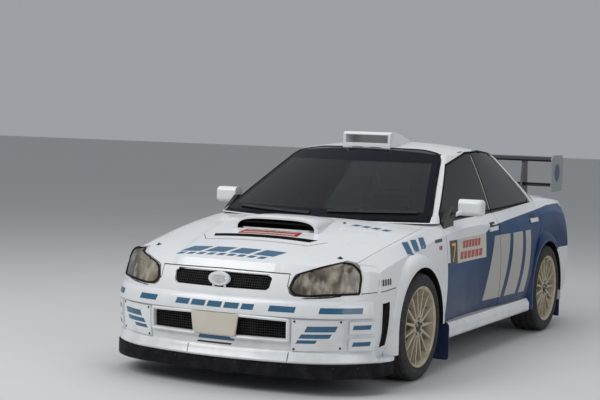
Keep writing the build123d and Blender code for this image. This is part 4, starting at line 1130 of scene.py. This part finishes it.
def bonnet_details():
    """Slot, panel lines, bars, rally plate, washer jets and pins on the bonnet."""
    lid = Surface("bonnet")

    def lay(name, corners, lift, material, steps, thickness=0.0):
        return patch(name, lid, "top", corners, lift, material, steps, thickness)

    # the slot is a near-black film of painted shade on the bonnet
    lay("bonnet_slot", BONNET_SLOT, 0.0012, "mesh", (30, 4))
    for sign in (-1, 1):
        lay(f"panel_line_{sign + 1}", on_side(sign, PANEL_LINE), MARK_LIFT, "seal", (2, 10))
    pieces = []
    for start, pitch, count, width, rear, front, slant, steps in BONNET_ROWS:
        for k in range(count):
            low = start + pitch * k
            pieces.append(lay("bar", bar(low, low + width, rear, front, slant), MARK_LIFT, "blue", steps))
    joined("bonnet_marks", pieces)
    lay("rally_plate", RALLY_PLATE, PANEL_LIFT, "red", (12, 6), 0.0012)
    lay("rally_plate_field", RALLY_FIELD, 0.0024, "pale", (12, 6))
    lay("rally_plate_stripe", RALLY_STRIPE, 0.0034, "red", (12, 3))
    pins = []
    for sign in (-1, 1):
        for (x, y), profile, segments in ((JET_PLACE, JET, 16), (PIN_PLACE, PIN, 20)):
            point, normal = lid.cast("top", sign * x, y)
            pins.append(turned("pin", profile, point, normal, "trim", "bonnet_lid", segments))
    joined("bonnet_pins", pins)


# Door handles: where each is in y and z, and the outlines of cup and grip about it
HANDLES = {"front": (0.110, 0.838), "rear": (1.020, 0.852)}
HANDLE_CUP = [(-0.056, 0.028), (0.056, 0.032), (0.050, -0.026), (-0.050, -0.030)]
HANDLE_GRIP = [(-0.084, -0.002), (0.084, 0.002), (0.080, -0.026), (-0.080, -0.030)]
NUMBER_PANEL = [(-0.715, 0.792), (-0.572, 0.792), (-0.572, 0.640), (-0.712, 0.640)]
EVENT_PANEL = [(-0.566, 0.793), (-0.026, 0.802), (-0.022, 0.642), (-0.566, 0.640)]
# Rows of bars on the event panel: top z, first y, last y
EVENT_ROWS = ((0.778, -0.470, -0.130), (0.708, -0.520, -0.090))
EVENT_COUNT = 6
EVENT_HEIGHT = 0.048
NUMBER_PLACE = (-0.643, 0.716)
NUMBER_HEIGHT = 0.115


def about(centre, corners, flip=1):
    """Corners given from a centre."""
    return [(centre[0] + flip * a, centre[1] + b) for a, b in corners]


def numeral(name, surface, side):
    """A plain 7 made from two strokes, laid on a door."""
    h, w, t = NUMBER_HEIGHT / 2, NUMBER_HEIGHT * 0.30, NUMBER_HEIGHT * 0.15
    strokes = (
        [(-w, h), (w, h), (w, h - t), (-w, h - t)],
        [(w - t, h - t), (w, h - t), (-w * 0.2, -h), (-w * 0.2 - t, -h)],
    )
    outlines = [about(NUMBER_PLACE, stroke, 1 if side == "left" else -1) for stroke in strokes]
    marks(name, surface, side, outlines, TOP_MARK_LIFT, "yellow", (4, 4))


def door_details():
    """Handles, number panel and event panel of the doors."""
    for side, _ in SIDES:
        for end, place in HANDLES.items():
            skin = Surface(f"door_{end}_{side}")
            cup = about(place, HANDLE_CUP)
            patch(f"handle_cup_{end}_{side}", skin, side, cup, MARK_LIFT, "trim", (8, 5))
            grip = about(place, HANDLE_GRIP)
            patch(f"handle_{end}_{side}", skin, side, grip, 0.004, "white", (10, 4), 0.008)
        skin = Surface(f"door_front_{side}")
        patch(f"number_panel_{side}", skin, side, NUMBER_PANEL, PANEL_LIFT, "black_paint", (4, 8))
        patch(f"event_panel_{side}", skin, side, EVENT_PANEL, PANEL_LIFT, "pale", (14, 8))
        bars = []
        for top, first, last in EVENT_ROWS:
            pitch = (last - first) / EVENT_COUNT
            for k in range(EVENT_COUNT):
                low = first + k * pitch
                bars.append(bar(low, low + 0.78 * pitch, top, top - EVENT_HEIGHT, 0.008))
        marks(f"event_bars_{side}", skin, side, bars, TOP_MARK_LIFT, "red", (3, 3))
        numeral(f"number_{side}", skin, side)


# The slanted bars on a front wing: y, top, foot, and how far behind that y their corners are
WING_BARS = ((-1.420, 0.818, 0.748), (-1.315, 0.826, 0.762), (-1.210, 0.834, 0.772))
WING_BAR_TOP = (0.075, 0.140)
WING_BAR_FOOT = (0.090, 0.020)
# Small marks beside the lamp, in degrees round the nose and heights
WING_TICK = [(0.3, 0.640), (1.3, 0.641), (1.0, 0.607), (0.0, 0.606)]
WING_TICK_TURNS = (52.4, 53.9, 55.4, 56.9, 58.4)
WING_BOARD = [(-0.955, 0.812), (-0.835, 0.815), (-0.840, 0.795), (-0.960, 0.792)]
WING_SPOT = [(-0.900, 0.770), (-0.845, 0.772), (-0.850, 0.748), (-0.905, 0.746)]


def wing_marks():
    """Plain bars and small marks on the front wings."""
    skin = Surface("front_wings")
    for side, sign in SIDES:
        bars = [
            [(y + a, top) for a in WING_BAR_TOP] + [(y + a, foot) for a in WING_BAR_FOOT]
            for y, top, foot in WING_BARS
        ]
        marks(f"wing_marks_{side}", skin, side, bars, MARK_LIFT, "blue", (5, 8))
        small = []
        for turn in WING_TICK_TURNS:
            tick = about((turn, 0), WING_TICK)
            small.append(nose_patch("tick", skin, sign, tick, TOP_MARK_LIFT, "black_paint", (3, 3)))
        small.append(patch("board", skin, side, WING_BOARD, MARK_LIFT, "black_paint", (6, 3)))
        joined(f"wing_small_marks_{side}", small)
        patch(f"wing_red_mark_{side}", skin, side, WING_SPOT, MARK_LIFT, "red", (4, 3))


# The left gutter in space, then outlines on the left side glass
GUTTER = [
    (0.562, 0.080, 1.330), (0.560, 0.420, 1.344), (0.575, 0.740, 1.334), (0.640, 1.020, 1.190),
    (0.735, 1.330, 0.985),
]
SAIL = [(-0.700, 0.945), (-0.560, 1.020), (-0.555, 0.915), (-0.690, 0.915)]
SPLIT_LINE = [(0.218, 0.945), (0.228, 0.945), (0.280, 1.310), (0.270, 1.310)]


def side_trim():
    """Gutter lines, the black sail panels and the pale line between the side glasses."""
    roof = Surface("roof_frame")
    for side, sign in SIDES:
        gutter = [(sign * x, y, z) for x, y, z in GUTTER]
        strip(f"gutter_{side}", roof, "nearest", gutter, 0.008, 0.003, "seal", 0.08, closed=False)
        pane = Surface(f"glass_front_{side}")
        patch(f"sail_panel_{side}", pane, side, SAIL, 0.002, "trim", (6, 6))
        patch(f"split_line_{side}", pane, side, SPLIT_LINE, 0.0015, "pale", (2, 14))


# A front flap, half of its thickness, its place in y, and its outline from behind, narrower inside the arch
FLAP_HALF = 0.0045
FLAP_Y = -0.884
FLAP_OUTLINE = [
    (0.655, 0.070), (0.905, 0.070), (0.905, 0.290), (0.840, 0.330), (0.840, 0.420), (0.655, 0.420),
]
FLAP_ROUNDING = 0.020


def arch_flaps():
    """The wide hanging flap behind each front wheel, up into the arch."""
    outline = rounded(FLAP_OUTLINE, FLAP_ROUNDING)
    faces = tube_faces(2, len(outline))
    for side, sign in SIDES:
        vertices = [(sign * p.x, FLAP_Y + way * FLAP_HALF, p.y) for way in (-1, 1) for p in outline]
        outward(mesh_object(f"arch_flap_{side}", vertices, faces, "flap", "body", smooth=False))


FLOOR_HALF = 60.0
SKY = (0.80, 0.84, 0.90, 1)
SKY_STRENGTH = 0.42
# Area lights: name, place, what it points at, width, watts, whether reflections show it
LIGHTS = (
    ("key", (-3.5, -6.5, 6.0), (0, -0.5, 0.5), 5.0, 350, True),
    ("fill", (7.0, -4.0, 3.5), (0, 0, 0.6), 4.0, 100, True),
    ("top", (0.0, 1.0, 7.0), (0, 0.6, 0.5), 6.0, 230, False),
)


def floor_and_light():
    """A pale floor and soft studio light."""
    scene = bpy.context.scene
    scene.view_settings.view_transform = "Standard"
    floor = bpy.data.meshes.new("floor")
    corners = [(a * FLOOR_HALF, b * FLOOR_HALF, 0) for a, b in ((-1, -1), (1, -1), (1, 1), (-1, 1))]
    floor.from_pydata(corners, [], [(0, 1, 2, 3)])
    ground = bpy.data.objects.new("floor", floor)
    scene.collection.objects.link(ground)
    finish = Finish("floor_finish", Roughness=0.8)
    shade = finish.mix(finish.cloud(2, 4, 0.3, 0.7, 0, 0.3), (0.58, 0.58, 0.575), (0.54, 0.54, 0.535))
    floor.materials.append(finish.done(shade))
    world = bpy.data.worlds.new("studio")
    world.use_nodes = True
    scene.world = world
    sky = world.node_tree.nodes["Background"].inputs
    sky["Color"].default_value = SKY
    sky["Strength"].default_value = SKY_STRENGTH
    for name, place, target, width, power, reflected in LIGHTS:
        data = bpy.data.lights.new(name, "AREA")
        data.energy = power
        data.size = width
        lamp = bpy.data.objects.new(name, data)
        lamp.location = place
        lamp.visible_glossy = reflected
        lamp.rotation_euler = (Vector(target) - Vector(place)).to_track_quat("-Z", "Y").to_euler()
        scene.collection.objects.link(lamp)


CAMERA_PLACE = (4.002, -9.269, 1.530)
CAMERA_YAW = radians(-26.33)
CAMERA_PITCH = radians(-3.21)
CAMERA_ROLL = radians(1.74)
CAMERA_LENS = 87.0


def camera():
    """The camera at the photograph's viewing angle, from its place, heading, pitch and roll."""
    data = bpy.data.cameras.new("camera")
    data.lens = CAMERA_LENS
    data.sensor_width = 36.0
    obj = bpy.data.objects.new("camera", data)
    bpy.context.scene.collection.objects.link(obj)
    heading = Matrix.Rotation(-CAMERA_YAW, 4, "Z")
    pitch = Matrix.Rotation(tau / 4 + CAMERA_PITCH, 4, "X")
    roll = Matrix.Rotation(CAMERA_ROLL, 4, "Z")
    obj.matrix_world = Matrix.Translation(CAMERA_PLACE) @ heading @ pitch @ roll
    bpy.context.scene.camera = obj


finish_nodes()
wheels()
glass_seals()
front_end()
scoop_hood()
bonnet_details()
door_details()
wing_marks()
side_trim()
arch_flaps()
floor_and_light()
camera()
